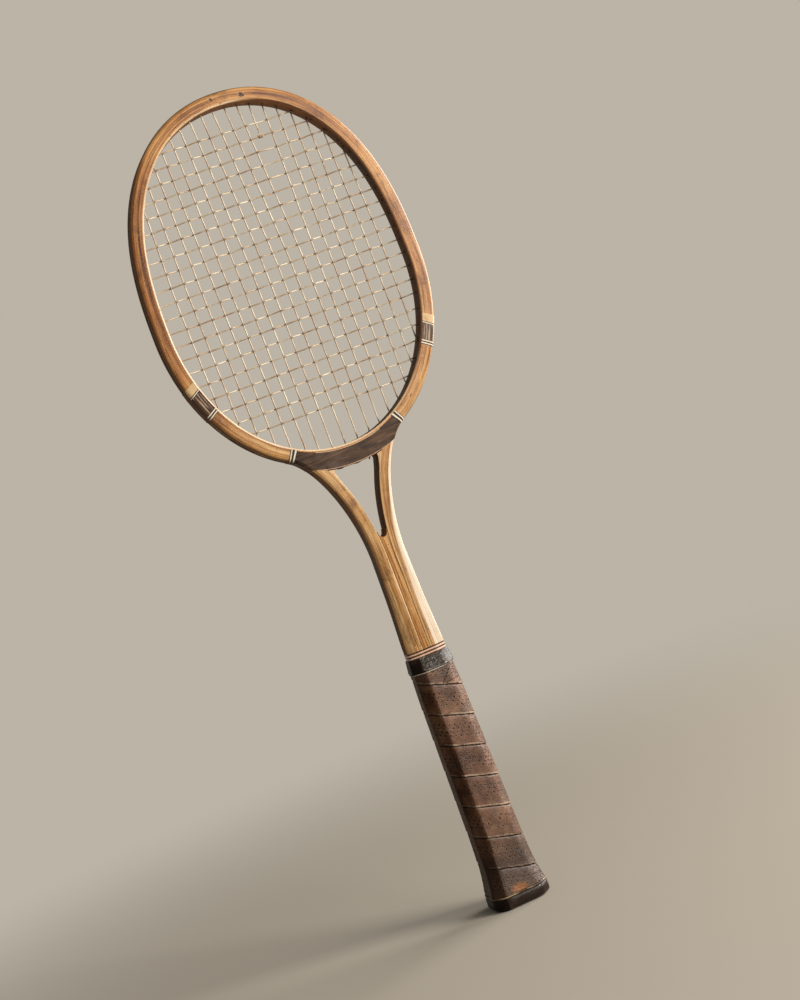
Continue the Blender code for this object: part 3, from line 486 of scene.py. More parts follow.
class Material(Nodes):
    """A material's nodes, with the places on a piece that colours follow."""

    def __init__(self, name, **values):
        self.material = bpy.data.materials.new(name)
        self.material.use_nodes = True
        super().__init__(self.material.node_tree)
        self.shader = self.tree.nodes["Principled BSDF"]
        for key, value in values.items():
            self.shader.inputs[key.replace("_", " ").title().replace("Ior", "IOR")].default_value = value
        self.place = self.add("TexCoord").outputs["Object"]
        self.map = self.add("UVMap", uv_map="grain").outputs["UV"]
        self.x, self.y, z = self.add("SeparateXYZ", {0: self.place}).outputs
        self.height = self.plus(z, HOLD_HEIGHT)
        self.depth = self.size(self.y)
        self.along, self.across, _ = self.add("SeparateXYZ", {0: self.map}).outputs

    def noise(self, vector, scale, detail=3.0, roughness=0.55, distortion=0.0):
        """Noise on a vector that is stretched by one scale or three."""
        scale = scale if isinstance(scale, tuple) else (scale,) * 3
        stretched = self.add("Mapping", {"Vector": vector, "Scale": scale}).outputs[0]
        inputs = {"Vector": stretched, "Scale": 1.0, "Detail": detail, "Roughness": roughness}
        return self.add("TexNoise", inputs | {"Distortion": distortion}).outputs[0]

    def range(self, value, low, high, to_low=0.0, to_high=1.0):
        """Follows a value from low to high smoothly."""
        inputs = {"Value": value, "From Min": low, "From Max": high, "To Min": to_low, "To Max": to_high}
        return self.add("MapRange", inputs, interpolation_type="SMOOTHSTEP").outputs[0]

    def ramp(self, value, places, colours):
        node = self.add("ValToRGB", {0: value})
        elements = node.color_ramp.elements
        while len(elements) < len(places):
            elements.new(0.5)
        for element, place, colour in zip(elements, places, colours):
            element.position = place
            element.color = (*colour, 1)
        return node.outputs[0]

    def over(self, colour, tint, *shares):
        """A colour with a tint laid over it, by the product of some shares."""
        return self.add("Mix", {0: self.times(*shares), 6: colour, 7: tint}, data_type="RGBA").outputs[2]

    def right_edge(self, low, high):
        """Follows how far a surface looks to the racket's right."""
        normal = self.add("TexCoord").outputs["Normal"]
        return self.range(self.add("SeparateXYZ", {0: normal}).outputs["X"], low, high)

    def shaded_sides(self):
        """Follows the bow's sides, but for those that look to the right, where painted shade darkens them."""
        side = self.range(self.depth, HALF_DEPTH - 0.0006, HALF_DEPTH - 0.0030)
        return self.times(side, self.right_edge(0.45, 0.05))

    def spot(self, centre, radius):
        """1 near a point and 0 beyond a radius, with a ragged edge."""
        ragged = self.times(self.noise(self.place, 900, 2), radius * 1.2)
        distance = self.add("VectorMath", {0: self.place, 1: centre}, operation="DISTANCE").outputs["Value"]
        return self.range(self.plus(distance, ragged), radius * 1.6, radius)

    def finish(self, colour, roughness=None, height=None, distance=0.0001):
        self.put(self.shader, "Base Color", colour)
        if roughness is not None:
            self.put(self.shader, "Roughness", roughness)
        if height is not None:
            bump = self.add("Bump", {"Height": height, "Distance": distance, "Strength": 1.0})
            self.put(self.shader, "Normal", bump.outputs[0])
        return self.material


def shaded(colour, share):
    return tuple(share * part for part in colour)


def wood(name, tones, low=None, right=None, grain="map", blotch=0.5, gloss=0.30, marks=(), coat=0.18, edge=None,
         shaded_right_tones=None, shine=0.28):
    """Varnished wood whose grain runs along the map, or along one axis.

    Tones are its dark, middle and light colours, low those on the legs and shaft, right the paler tones of a painted
    highlight on the right corner of the legs and shaft, and the shaded right tones those of painted shade at the
    crown's right and on the right of the head.
    """
    n = Material(name, coat_weight=coat, coat_roughness=0.16, specular_ior_level=shine)

    def grained(along, across, *settings):
        scales = {"map": (along, across, 1), "x": (along, across, across), "z": (across, across, along)}
        return n.noise(n.map if grain == "map" else n.place, scales[grain], *settings)

    def toned(colours):
        return n.ramp(tone, (0.40, 0.495, 0.59), colours)

    broad = grained(7, 240, 3, 0.55, 0.25)
    fine = grained(16, 1300, 4, 0.62, 0.2)
    pore = n.range(grained(70, 3200, 2, 0.5), 0.55, 0.66)
    tone = n.plus(n.times(broad, 0.45), n.times(fine, 0.30), n.times(n.noise(n.place, 20), 0.25))
    on_head = n.range(n.height, 0.415, 0.445)
    colour = toned(tones)
    if low:
        colour = n.over(colour, toned(low), n.range(n.height, 0.452, 0.415))
    if marks or right:
        # Lighter at the crown and on the right of the head
        light = n.math("MAXIMUM", n.range(n.height, 0.615, 0.665), n.range(n.x, 0.03, 0.10))
        colour = n.over(colour, toned(LIGHT_TONES), light, on_head, 0.6)
    # Painted shade: darker tones on the right of the head
    if shaded_right_tones:
        colour = n.over(colour, toned(shaded_right_tones), n.range(n.x, 0.0, 0.03), on_head)
    # Pores, stains, dark streaks along the grain, short dark nicks, and small pale rubs
    stain = n.range(n.noise(n.place, (30, 30, 22), 5, 0.65, 0.6), 0.50, 0.64)
    streak = n.range(grained(22, 700, 3, 0.6, 0.4), 0.56, 0.66)
    nick = n.range(grained(260, 700, 2, 0.5, 0.8), 0.66, 0.73)
    rub = n.range(n.noise(n.place, 260, 3, 0.6, 0.5), 0.66, 0.74)
    for share, amount, dark in ((pore, 0.50, 1.0), (stain, blotch, 0.8), (streak, 0.55, 0.6), (nick, 0.8, 0.2)):
        colour = n.over(colour, shaded(tones[0], dark), share, amount)
    colour = n.over(colour, (0.66, 0.46, 0.28), rub, 0.35)
    # Painted highlight: paler tones and a pale edge on the corners of the legs and shaft that look to the right
    if right:
        lit_corner = n.range(n.height, 0.420, 0.340, 0.0, 0.9)
        colour = n.over(colour, toned(right), n.right_edge(0.10, 0.28), lit_corner)
        colour = n.over(colour, PAINTED_EDGE_HIGHLIGHT, n.right_edge(0.50, 0.75), 0.8)
    relief = n.plus(n.times(fine, 0.35), n.times(pore, -0.25), n.times(nick, -0.6))
    if edge:
        # Painted shade: darker towards the outer and inner walls, but not on the sides that look to the right
        wall = n.times(n.range(n.depth, HALF_DEPTH - 0.0003, HALF_DEPTH - 0.0022), n.right_edge(0.45, 0.05),
                       n.range(n.height, 0.300, 0.360, 0.30, 0.90))
        colour = n.over(colour, n.ramp(fine, (0.42, 0.58), (shaded(edge, 0.6), edge)), wall)
    for (x, y, height), radius in marks:
        mark = n.spot((x, y, height - HOLD_HEIGHT), radius)
        colour = n.over(colour, (0.030, 0.012, 0.006), mark, 0.92)
        relief = n.plus(relief, n.times(mark, -2.0))
    # Under the leather the wood is painted dark, as painted shade in the seams between the turns
    colour = n.over(colour, (0.016, 0.008, 0.006), n.range(n.height, 0.1992, 0.1990))
    return n.finish(colour, n.range(broad, 0.3, 0.7, gloss - 0.06, gloss + 0.12), relief, 0.00012)


def wall_material(name, lines=False):
    """The bow's sides: dark as painted shade, dull, reddish near the faces, with the plies' edges as thin lines."""
    n = Material(name, specular_ior_level=0.12)
    fine = n.noise(n.map, (16, 1500, 1), 4, 0.65, 0.3)
    slow = n.noise(n.place, 40, 4, 0.6, 0.4)
    tone = n.plus(n.times(fine, 0.5), n.times(slow, 0.5))
    colour = n.ramp(tone, (0.40, 0.50, 0.60), ((0.035, 0.018, 0.010), (0.100, 0.052, 0.026), (0.190, 0.100, 0.050)))
    red = n.ramp(tone, (0.42, 0.58), ((0.11, 0.035, 0.012), (0.26, 0.095, 0.034)))
    colour = n.over(colour, red, n.range(n.depth, HALF_DEPTH - 0.0050, HALF_DEPTH - 0.0020), 0.8)
    if lines:
        patchy = n.range(slow, 0.38, 0.50, 0.15, 0.75)
        for place, tint in ((0.0060, (0.42, 0.27, 0.14)), (0.0050, (0.02, 0.011, 0.007)), (0.0036, (0.34, 0.21, 0.11))):
            band = n.range(n.size(n.minus(n.depth, place)), 0.00050, 0.0002)
            colour = n.over(colour, tint, band, patchy)
    else:
        light = n.ramp(tone, (0.42, 0.58), ((0.17, 0.065, 0.026), (0.38, 0.175, 0.080)))
        colour = n.over(colour, light, n.range(n.height, 0.600, 0.660), 0.8)
    return n.finish(colour, n.range(slow, 0.3, 0.7, 0.55, 0.80), fine, 0.00010)


def paint(name, colour, worn, amount=0.6, roughness=0.4, lows=(0.50, 0.66), sides=0.0):
    """A painted or stained band, worn through in places, with painted shade on the bow's sides and a painted highlight
    on its right corner.
    """
    n = Material(name, coat_weight=0.12, coat_roughness=0.2, specular_ior_level=0.28)
    rubbed = n.noise(n.place, 60, 5, 0.65, 0.3)
    streaks = n.range(n.noise(n.map, (40, 1500, 1), 3, 0.6, 0.3), 0.50, 0.62)
    fine = n.noise(n.place, 1400)
    shade = n.over(colour, worn, n.range(rubbed, *lows), amount)
    shade = n.over(shade, worn, streaks, 0.45 * amount)
    shade = n.over(shade, shaded(colour, 0.6), n.range(fine, 0.45, 0.75, 0.0, 0.35))
    if sides:
        # Painted shade on the sides that don't look to the right, and a painted highlight on the right corner
        shade = n.over(shade, (0.050, 0.027, 0.014), n.shaded_sides(), sides)
        shade = n.over(shade, PAINTED_EDGE_HIGHLIGHT, n.right_edge(0.50, 0.75), 0.8)
    return n.finish(shade, n.range(rubbed, 0.3, 0.7, roughness - 0.08, roughness + 0.12), fine, 0.00006)


def sleeve_material():
    """Dark stain over wood, scraped off in light streaks that taper along the bow, with painted shade on the bow's
    sides and a painted highlight on its right corner.
    """
    n = Material("sleeve", coat_weight=0.15, coat_roughness=0.2, specular_ior_level=0.28)
    tone = n.noise(n.map, (18, 500, 1), 4, 0.6, 0.3)
    colour = n.ramp(tone, (0.38, 0.50, 0.62), ((0.022, 0.011, 0.008), (0.070, 0.036, 0.022), (0.130, 0.070, 0.042)))
    scrape = n.range(n.noise(n.map, (55, 900, 1), 2, 0.5, 0.5), 0.57, 0.66)
    colour = n.over(colour, (0.46, 0.32, 0.21), scrape, 0.85)
    # Painted shade on the sides, and a painted highlight on the right corner
    colour = n.over(colour, (0.040, 0.022, 0.013), n.shaded_sides(), 0.8)
    colour = n.over(colour, PAINTED_EDGE_HIGHLIGHT, n.right_edge(0.50, 0.75), 0.85)
    return n.finish(colour, n.range(tone, 0.3, 0.7, 0.28, 0.42), tone, 0.00010)


def overlay_material():
    """Dark brown veneer, bluish and dull at the left, scratched and rubbed brown towards the right."""
    n = Material("overlay", coat_weight=0.08, coat_roughness=0.22, specular_ior_level=0.20)
    slow = n.noise(n.place, (45, 45, 90), 4, 0.6, 0.6)
    tone = n.plus(n.times(n.noise(n.place, (30, 1, 420), 4, 0.62, 0.5), 0.6), n.times(slow, 0.4))
    colour = n.ramp(tone, (0.38, 0.50, 0.63), ((0.018, 0.009, 0.005), (0.062, 0.031, 0.016), (0.145, 0.076, 0.038)))
    grey = n.times(n.range(slow, 0.48, 0.60), n.range(n.x, 0.008, -0.020))
    colour = n.over(colour, (0.075, 0.062, 0.055), grey, 0.5)
    scratched = n.range(n.noise(n.place, (90, 1, 900), 3, 0.6, 0.9), 0.58, 0.68)
    colour = n.over(colour, (0.28, 0.150, 0.075), scratched, n.range(n.x, -0.030, 0.030, 0.2, 0.6), 0.7)
    return n.finish(colour, n.range(slow, 0.3, 0.7, 0.30, 0.50), tone, 0.00014)


def leather_material(name, gloss, shade):
    """Perforated leather, as dark as a shade. The strip's map starts at its upper edge."""
    n = Material(name, coat_weight=0.3 * gloss, coat_roughness=0.30, specular_ior_level=gloss)
    tones = [shaded(tint, shade) for tint in ((0.060, 0.024, 0.012), (0.145, 0.066, 0.034), (0.240, 0.125, 0.070))]
    tone = n.noise(n.place, (34, 34, 26), 5, 0.66, 0.4)
    colour = n.ramp(tone, (0.36, 0.50, 0.62), tones)
    grey = n.range(n.noise(n.place, (48, 48, 40), 3, 0.6, 0.2), 0.52, 0.64)
    colour = n.over(colour, shaded((0.105, 0.066, 0.050), shade), grey, 0.55)
    colour = n.over(colour, shaded((0.050, 0.031, 0.021), shade), n.range(n.height, 0.085, 0.020, 0.0, 0.75))
    # The lower edge, which lies over the next turn, is worn pale in patches, and the upper edge, under the turn above,
    # is darkened as a painted shadow
    width = GRIP_PITCH - GRIP_SEAM
    worn = n.times(n.range(n.across, width - 0.0014, width - 0.0008), n.range(n.across, 0.0264, 0.0260),
                   n.range(n.noise(n.place, (150, 150, 110)), 0.36, 0.58), n.range(n.height, 0.015, 0.095, 0.35, 1.0))
    colour = n.over(colour, shaded((0.50, 0.37, 0.27), shade**2), worn, 0.75)
    colour = n.over(colour, (0.026, 0.011, 0.007), n.range(n.across, 0.0018, 0.0004), 0.7)
    # Perforations in staggered rows
    row_step, hole_step = 0.0031, 0.0042
    off = n.minus(n.across, width / 2)
    row = n.plus(n.math("DIVIDE", off, row_step), 20.0)
    stagger = n.times(n.math("MODULO", n.math("FLOOR", row), 2.0), 0.5)
    here = n.math("FRACT", n.plus(n.math("DIVIDE", n.along, hole_step), stagger))
    distance = n.hypotenuse(n.times(n.minus(here, 0.5), hole_step),
                            n.times(n.minus(n.math("FRACT", row), 0.5), row_step))
    distance = n.plus(distance, n.times(n.minus(n.noise(n.place, 300, 2), 0.5), 0.0012))
    punched = n.times(n.range(n.size(off), 0.0068, 0.0058), n.range(n.noise(n.place, 60, 2), 0.36, 0.46))
    hole = n.times(n.range(distance, 0.00082, 0.00050), punched)
    rim = n.times(n.range(distance, 0.00130, 0.00095), punched, n.range(n.noise(n.place, 700, 2), 0.46, 0.56))
    colour = n.over(colour, shaded((0.45, 0.32, 0.24), shade**2), rim, 0.32)
    colour = n.over(colour, (0.006, 0.003, 0.002), hole, 0.95)
    # Grain and creases
    grain = n.add("TexVoronoi", {"Vector": n.place, "Scale": 1500.0}).outputs["Distance"]
    crease = n.range(n.size(n.minus(n.noise(n.map, (90, 300, 1), 4, 0.6, 1.2), 0.5)), 0.022, 0.0)
    colour = n.over(colour, (0.030, 0.013, 0.009), crease, 0.40)
    relief = n.plus(n.times(grain, 0.5), n.times(hole, -2.2), n.times(crease, -0.9), n.times(tone, 3.0))
    # The strip's end is tucked in under the collar: its fold runs up to the right from a point on the front, with
    # painted shade along the crease
    right, up = n.minus(n.x, FOLD[0]), n.minus(n.height, FOLD[1])
    aside = n.times(n.minus(up, right), math.sqrt(0.5))
    there = n.times(n.range(right, -0.0003, 0.0004), n.range(n.y, -0.0060, -0.0070), n.range(up, -0.0002, 0.0004))
    relief = n.plus(relief, n.times(n.range(aside, 0.0002, -0.0002), there, 3.0))
    colour = n.over(colour, (0.014, 0.007, 0.005), n.range(n.size(aside), 0.00045, 0.00015), there, 0.9)
    # The dye is rubbed through to orange just above the gold line
    place, reach = (-0.0015, 0.0135), (0.0090, 0.0052)
    distance = n.hypotenuse(n.math("DIVIDE", n.minus(n.x, place[0]), reach[0]),
                            n.math("DIVIDE", n.minus(n.height, place[1]), reach[1]))
    distance = n.plus(distance, n.noise(n.place, (420, 420, 700), 4, 0.6))
    colour = n.over(colour, ORANGE_SPOT, n.range(distance, 1.55, 0.70), n.range(n.y, -0.010, -0.013), 0.85)
    roughness = n.plus(n.range(tone, 0.3, 0.7, 0.30, 0.46), n.times(hole, 0.3))
    return n.finish(colour, n.minus(roughness, n.range(n.height, 0.040, 0.015, 0.0, 0.10)), relief, 0.00018)


def gut_material():
    n = Material("gut", coat_weight=0.12, coat_roughness=0.2)
    tone = n.noise(n.map, (45, 300, 1), 3, 0.6)
    colour = n.ramp(tone, (0.38, 0.50, 0.64), ((0.40, 0.23, 0.12), (0.66, 0.51, 0.33), (0.82, 0.72, 0.54)))
    turn = n.plus(n.times(n.along, 2 * math.pi / 0.0024), n.times(n.across, 2 / STRING_RADIUS))
    colour = n.over(colour, (0.36, 0.21, 0.10), n.range(n.math("SINE", turn), 0.1, -0.9, 0.0, 0.10))
    # Darker near the crossings and in the holes, and near the walls, further out on the right as a painted shadow of
    # the frame
    worn = n.add("SeparateXYZ", {0: n.add("UVMap", uv_map="wear").outputs["UV"]}).outputs["X"]
    return n.finish(n.over(colour, (0.075, 0.036, 0.016), worn, 0.90), 0.36)


def black_material(name, colour, worn, gloss, crumpled=0.0):
    """Black that is more or less glossy, rubbed here and there."""
    n = Material(name, coat_weight=gloss, coat_roughness=0.15, specular_ior_level=gloss)
    tone = n.noise(n.place, (55, 55, 110), 4, 0.6, 0.4)
    scratch = n.range(n.noise(n.place, (500, 500, 1600), 3, 0.6, 0.3), 0.63, 0.72)
    shade = n.over(n.over(colour, worn, n.range(tone, 0.50, 0.72)), worn, scratch, 0.4)
    relief = tone
    if crumpled:
        relief = n.plus(tone, n.times(n.noise(n.place, (150, 150, 210), 3, 0.55, 1.1), crumpled))
    return n.finish(shade, n.range(tone, 0.3, 0.7, 0.20, 0.38), relief, 0.0006)


NAILS = (((-0.0055, -HALF_DEPTH, 0.6810), 0.0017), ((0.0187, -HALF_DEPTH, 0.6779), 0.0024),
         ((0.0205, -HALF_DEPTH, 0.6768), 0.0013))
FOLD = (0.0004, 0.1866)
HEAD_TONES = ((0.065, 0.018, 0.005), (0.310, 0.112, 0.026), (0.600, 0.300, 0.100))
LEG_TONES = ((0.200, 0.078, 0.020), (0.500, 0.250, 0.080), (0.740, 0.480, 0.230))
INNER_TONES = ((0.130, 0.042, 0.011), (0.380, 0.155, 0.042), (0.640, 0.360, 0.140))
BEAD_TONES = ((0.460, 0.260, 0.120), (0.780, 0.560, 0.340), (0.860, 0.700, 0.500))
DARK_BEAD = ((0.100, 0.038, 0.014), (0.240, 0.105, 0.042), (0.360, 0.190, 0.090))
CREAM = ((0.330, 0.170, 0.060), (0.620, 0.400, 0.190), (0.800, 0.620, 0.400))
LIGHT_TONES = ((0.120, 0.040, 0.011), (0.480, 0.210, 0.062), (0.720, 0.420, 0.160))
PLAIN_TONES = ((0.200, 0.070, 0.018), (0.460, 0.210, 0.065), (0.660, 0.400, 0.180))
YOKE_TONES = ((0.060, 0.018, 0.009), (0.170, 0.055, 0.024), (0.280, 0.110, 0.050))
# Tones of the painted highlight on the right corner of the legs and shaft
BRIGHT = ((0.480, 0.370, 0.250), (0.650, 0.550, 0.430), (0.700, 0.620, 0.510))
# Pale cream laid on corners that look to the right: a painted highlight
PAINTED_EDGE_HIGHLIGHT = (0.66, 0.55, 0.42)
ORANGE_SPOT = (0.34, 0.120, 0.028)

MATERIALS = {
    "outer": wood("outer_ply", HEAD_TONES, low=LEG_TONES, right=BRIGHT, edge=(0.11, 0.050, 0.022)),
    "core": wood("core_ply", HEAD_TONES, low=LEG_TONES, right=BRIGHT, marks=NAILS),
    "inner": wood("inner_ply", INNER_TONES),
    # Pale wood that is in part a painted highlight, darker on the right of the head as painted shade
    "bead": wood("inner_edge", BEAD_TONES, blotch=0.15, shaded_right_tones=DARK_BEAD),
    "pale": wood("pale_wood", CREAM, blotch=0.2),
    "plain": wood("plain_wood", PLAIN_TONES, grain="z", blotch=0.3),
    "wedge": wood("wedge_wood", PLAIN_TONES, grain="z", blotch=0.3, gloss=0.7, coat=0.0, edge=(0.090, 0.036, 0.018),
                  shine=0.04),
    "outer_wall": wall_material("outer_wall", lines=True),
    "inner_wall": wall_material("inner_wall"),
    "yoke": wood("yoke_wood", YOKE_TONES, grain="x", gloss=0.5, coat=0.05),
    "overlay": overlay_material(),
    "sleeve": sleeve_material(),
    "tan": paint("tan_paint", (0.66, 0.46, 0.25), (0.40, 0.20, 0.08), sides=0.8),
    "ivory": paint("ivory_paint", (0.80, 0.71, 0.56), (0.45, 0.28, 0.14), 0.35, sides=0.6),
    "line": paint("dark_paint", (0.018, 0.011, 0.009), (0.20, 0.08, 0.03), 0.25),
    "salmon": paint("salmon_paint", (0.70, 0.43, 0.31), (0.80, 0.62, 0.46)),
    "thin": paint("thin_line", (0.60, 0.42, 0.25), (0.22, 0.11, 0.05)),
    "rim": paint("collar_rim", (0.48, 0.40, 0.30), (0.08, 0.045, 0.028), 0.9, lows=(0.46, 0.56)),
    "black": black_material("black_rubber", (0.016, 0.010, 0.006), (0.064, 0.039, 0.023), 0.45, crumpled=2.4),
    # Duller, darker black for the faces that look to the left: painted shade
    "black_side": black_material("black_side", (0.012, 0.007, 0.005), (0.030, 0.018, 0.012), 0.03),
    "cap": black_material("butt_black", (0.018, 0.009, 0.006), (0.080, 0.036, 0.020), 0.2),
    # The dark side material for the left bands' left sides: painted shade
    "band_side": wall_material("band_side"),
    "gold": paint("gilt", (0.46, 0.34, 0.19), (0.05, 0.025, 0.014), 0.95, 0.35, lows=(0.40, 0.54)),
    "leather": leather_material("leather", 0.40, 1.0),
    # Duller leather at 0.6 of the brightness, for the faces that look to the left: painted shade
    "leather_side": leather_material("leather_side", 0.04, 0.60),
    "gut": gut_material(),
}


# The bow

def stations(first, last):
    """Lengths along the bow, close together round the head and the leg."""
    head = np.linspace(0, LEG_START, HEAD_STATIONS)
    leg = np.linspace(LEG_START, SHAFT_START, LEG_STATIONS)[1:]
    heights = [*SHAFT_STATIONS, *(row[0] for row in HANDLE_PROFILE)]
    shaft = [SHAFT_START + SHAFT_TOP - height for height in heights]
    return [length for length in (*head, *leg, *shaft) if first <= length <= last]


def bow_ring(line, length, side, section, lean=0.0):
    return [(side * (point := line.at(length - lean * depth, depth))[0], y, point[1]) for depth, y in section]


def both_ways(half):
    """A closed section from its back half, whose first point is on the inner side."""
    return [(depth, -y) for depth, y in half] + list(half)[::-1]


def outer_section(length):
    swell, _, deep, _ = rounding(length)
    fade = float(np.interp(length, [GROOVE_END, GROOVE_END + GROOVE_RUN_OUT], [1.0, 0.0]))
    insets = (OUTER_PLY + swell) * (1 - np.cos(np.linspace(math.pi / 2, 0, 9)))
    half = [(inset - swell, surface(length, inset)) for inset in insets]
    half.append((-swell, (HALF_DEPTH - deep + GROOVE_HALF) / 2))
    for sink, wide in ((0.0, 1.0), (0.6, 0.93), (1.0, 0.55)):
        half.append((GROOVE_DEPTH * sink * fade - swell, GROOVE_HALF * wide))
    return both_ways(half)


def core_section(length):
    swell = rounding(length)[0]
    depths = np.linspace(RING_OUT - PLY_SEAM, OUTER_PLY + PLY_SEAM, 7)
    return both_ways([(depth, surface(length, depth + swell)) for depth in depths])


def horseshoe(name, section_at, shift):
    lengths = stations(0, BOW.lengths[-1])
    rings = [bow_ring(BOW, length, -1, section_at(length)) for length in lengths[:0:-1]]
    rings += [bow_ring(BOW, length, 1, section_at(length)) for length in lengths]
    return skin(name, rings, shift=shift)


def head_ring(name, section, shift, sharp=35):
    lengths = np.linspace(0, HEAD_END, RING_STATIONS)
    rings = [bow_ring(HEAD, length, 1, section) for length in lengths]
    rings += [bow_ring(HEAD, length, -1, section) for length in lengths[-2:0:-1]]
    return skin(name, rings, closed=True, shift=shift, sharp=sharp)


def make_inner_ply():
    edge = []
    for angle in np.linspace(math.pi / 2, 0, 5):
        edge.append((RING_IN - INNER_EDGE * (1 - math.sin(angle)), HALF_DEPTH - INNER_EDGE * (1 - math.cos(angle))))
    return head_ring("bow_inner", both_ways([*edge, (RING_OUT, HALF_DEPTH)]), 5.0)


def make_beads():
    """The pale rounded edges of the opening, whose pale wood is in part a painted highlight, with painted shade on the
    right of the head.
    """
    quarter = np.linspace(0, math.pi / 2, 7)
    for name, face in FACES:
        section = []
        for lift, angles in ((BEAD_PROUD, quarter), (-BEAD_SUNK, quarter[::-1])):
            for angle in angles:
                reach = INNER_EDGE + lift
                section.append((RING_IN - INNER_EDGE + reach * math.sin(angle),
                                face * (HALF_DEPTH - INNER_EDGE + reach * math.cos(angle))))
        dress(head_ring(f"inner_edge_{name}", section, 31.0, 60), "bead", "inner_ply")


# Holes and strings, as in the CAD model

def side_of(value):
    return -1 if value < 0 else 1


def head_wall(x=None, height=None, upper=True):
    wide = HEAD.lengths[DENSE // 2]
    if height is not None:
        return solve(lambda length: HEAD.at(length, RING_IN)[1], height, 0.0, HEAD_END)
    span = (0.0, wide) if upper else (wide, HEAD_END)
    return solve(lambda length: HEAD.at(length, RING_IN)[0], x, *span)


class Hole:
    """A string hole: where it enters the bow from the opening, where the string turns outside, and its lane."""

    def __init__(self, side, wall_length, lane, exit_x=None):
        self.side = side
        self.lane = lane
        self.entry = HEAD.at(wall_length, RING_IN)
        self.in_window = exit_x is not None
        if self.in_window:
            self.line = HEAD
            self.turn_depth = -(YOKE_DROP + WINDOW_DROP)
            self.turn_length = solve(lambda length: HEAD.at(length, self.turn_depth)[0], exit_x, LEG_START, HEAD_END)
        else:
            self.line = BOW
            self.turn_depth = STRING_SINK
            out = -HEAD.inward(wall_length)
            reach = solve(lambda reach: -BOW.depth_of(self.entry + reach * out)[0], -STRING_SINK, 0, 3 * RING_IN)
            self.turn_length = BOW.depth_of(self.entry + reach * out)[1]
        self.turn = self.line.at(self.turn_length, self.turn_depth)
        self.out = (self.turn - self.entry) / np.linalg.norm(self.turn - self.entry)

    def run(self, end):
        points = (self.entry - WALL_STANDOFF * self.out, end)
        return [np.array([self.side * x, self.lane, z]) for x, z in points]

    def approach(self):
        return self.run(self.turn - TURN * self.out)

    def tail(self, inside):
        return self.run(self.turn - HOLE_END * self.out if inside else self.turn + WINDOW_TAIL * self.out)


def make_holes():
    tops, bottoms = [], []
    for index in range(MAINS + 1):
        x = (index - MAINS / 2) * TOP_HOLE_STEP
        tops.append(Hole(side_of(x), head_wall(x=abs(x)), LANE))
    exits = (0.0, *WINDOW_HOLES)
    for index in range(MAINS):
        place = index - (MAINS - 1) / 2
        x = place * MAIN_STEP
        exit_x = exits[round(abs(place))] if abs(place) < len(exits) else None
        bottoms.append(Hole(side_of(x), head_wall(x=abs(x), upper=False), LANE, exit_x))
    heights = [CROSS_TOP]
    for count, step in CROSS_STEPS:
        heights += [heights[-1] - step * (k + 1) for k in range(count)]
    walls = [head_wall(height=height) for height in heights]
    return tops, bottoms, [(Hole(-1, wall, -LANE), Hole(1, wall, -LANE)) for wall in walls], heights


TOP_HOLES, BOTTOM_HOLES, CROSS_HOLES, CROSS_HEIGHTS = make_holes()
GROOVE_END = max(hole.turn_length for hole in BOTTOM_HOLES if not hole.in_window) + 0.0028


def top_hole(main):
    return TOP_HOLES[main if main < SPARE_HOLE else main + 1]


def main_points(main):
    """A main string in the opening, bent at one height, and in its holes' lane only near its ends."""
    low, high = BOTTOM_HOLES[main].approach()[0], top_hole(main).approach()[0]
    bend = np.array([(main - (MAINS - 1) / 2) * MAIN_STEP, 0.0, MAIN_BEND_HEIGHT])
    flats = []
    for end in (low, high):
        way = (bend - end) * (1, 0, 1)
        flats.append((end + way * (LANE_RUN / np.linalg.norm(way))) * (1, 0, 1))
    return [low, flats[0], bend, flats[1], high]


def point_at_height(points, height):
    heights = [point[2] for point in points]
    return np.array([np.interp(height, heights, [point[axis] for point in points]) for axis in range(3)])


MAIN_LINES = [main_points(main) for main in range(MAINS)]
CROSSINGS = np.array([point_at_height(line, height)[[0, 2]] for line in MAIN_LINES for height in CROSS_HEIGHTS])


def cross_points(cross):
    """A cross string in the opening, woven over and under the mains."""
    left, right = (hole.approach()[0] for hole in CROSS_HOLES[cross])
    height = CROSS_HEIGHTS[cross]
    points = [left]
    for main, line in enumerate(MAIN_LINES):
        if not line[0][2] < height < line[-1][2]:
            continue
        point = point_at_height(line, height)
        to_ends = [np.linalg.norm((point - end)[[0, 2]]) for end in (left, right, line[0], line[-1])]
        if min(to_ends[:2]) < WALL_STANDOFF or not left[0] < point[0] < right[0]:
            continue
        before = min(to_ends) < NEAR_WALL or (main + cross) % 2 == 0
        point[1] += -WEAVE if before else WEAVE
        points.append(point)
    return points + [right]


def eased(points):
    """The same line with level runs over and under each crossing."""
    made = []
    for start, end in zip(points[:-1], points[1:]):
        for share in (0.0, 0.12, 0.3, 0.5, 0.7, 0.88):
            point = start + (end - start) * share
            point[1] = start[1] + (end[1] - start[1]) * (1 - math.cos(math.pi * share)) / 2
            made.append(point)
    return made + [points[-1]]


def loop_points(first, second):
    """The string's run from one hole to the next, outside the bow or under the yoke."""
    middle = HEAD_END if first.in_window else 0.0
    start, end = (hole.side * abs(middle - hole.turn_length) for hole in (first, second))
    way = side_of(end - start)
    start, end = start + way * TURN, end - way * TURN
    count = 3 if first.in_window else max(1, math.ceil(abs(end - start) / LOOP_STEP)) + 1
    points = []
    for value in np.linspace(start, end, count):
        x, z = first.line.at(abs(middle - abs(value)), first.turn_depth)
        points.append(np.array([side_of(value) * x, first.lane, z]))
    return points


def serpentine(lines, holes, first_from_end):
    """The path of one string to and fro along its lines and through their holes."""
    path = []
    for index, (line, ends) in enumerate(zip(lines, holes)):
        turned = (index % 2 == 0) == first_from_end
        start, end = ends[::-1] if turned else ends
        path += start.tail(True)[::-1] if index == 0 else start.approach()[::-1]
        path += (line[::-1] if turned else line)[1:-1]
        if index < len(lines) - 1:
            path += end.approach() + loop_points(end, holes[index + 1][0 if turned else 1])
    return path + end.tail(not end.in_window)


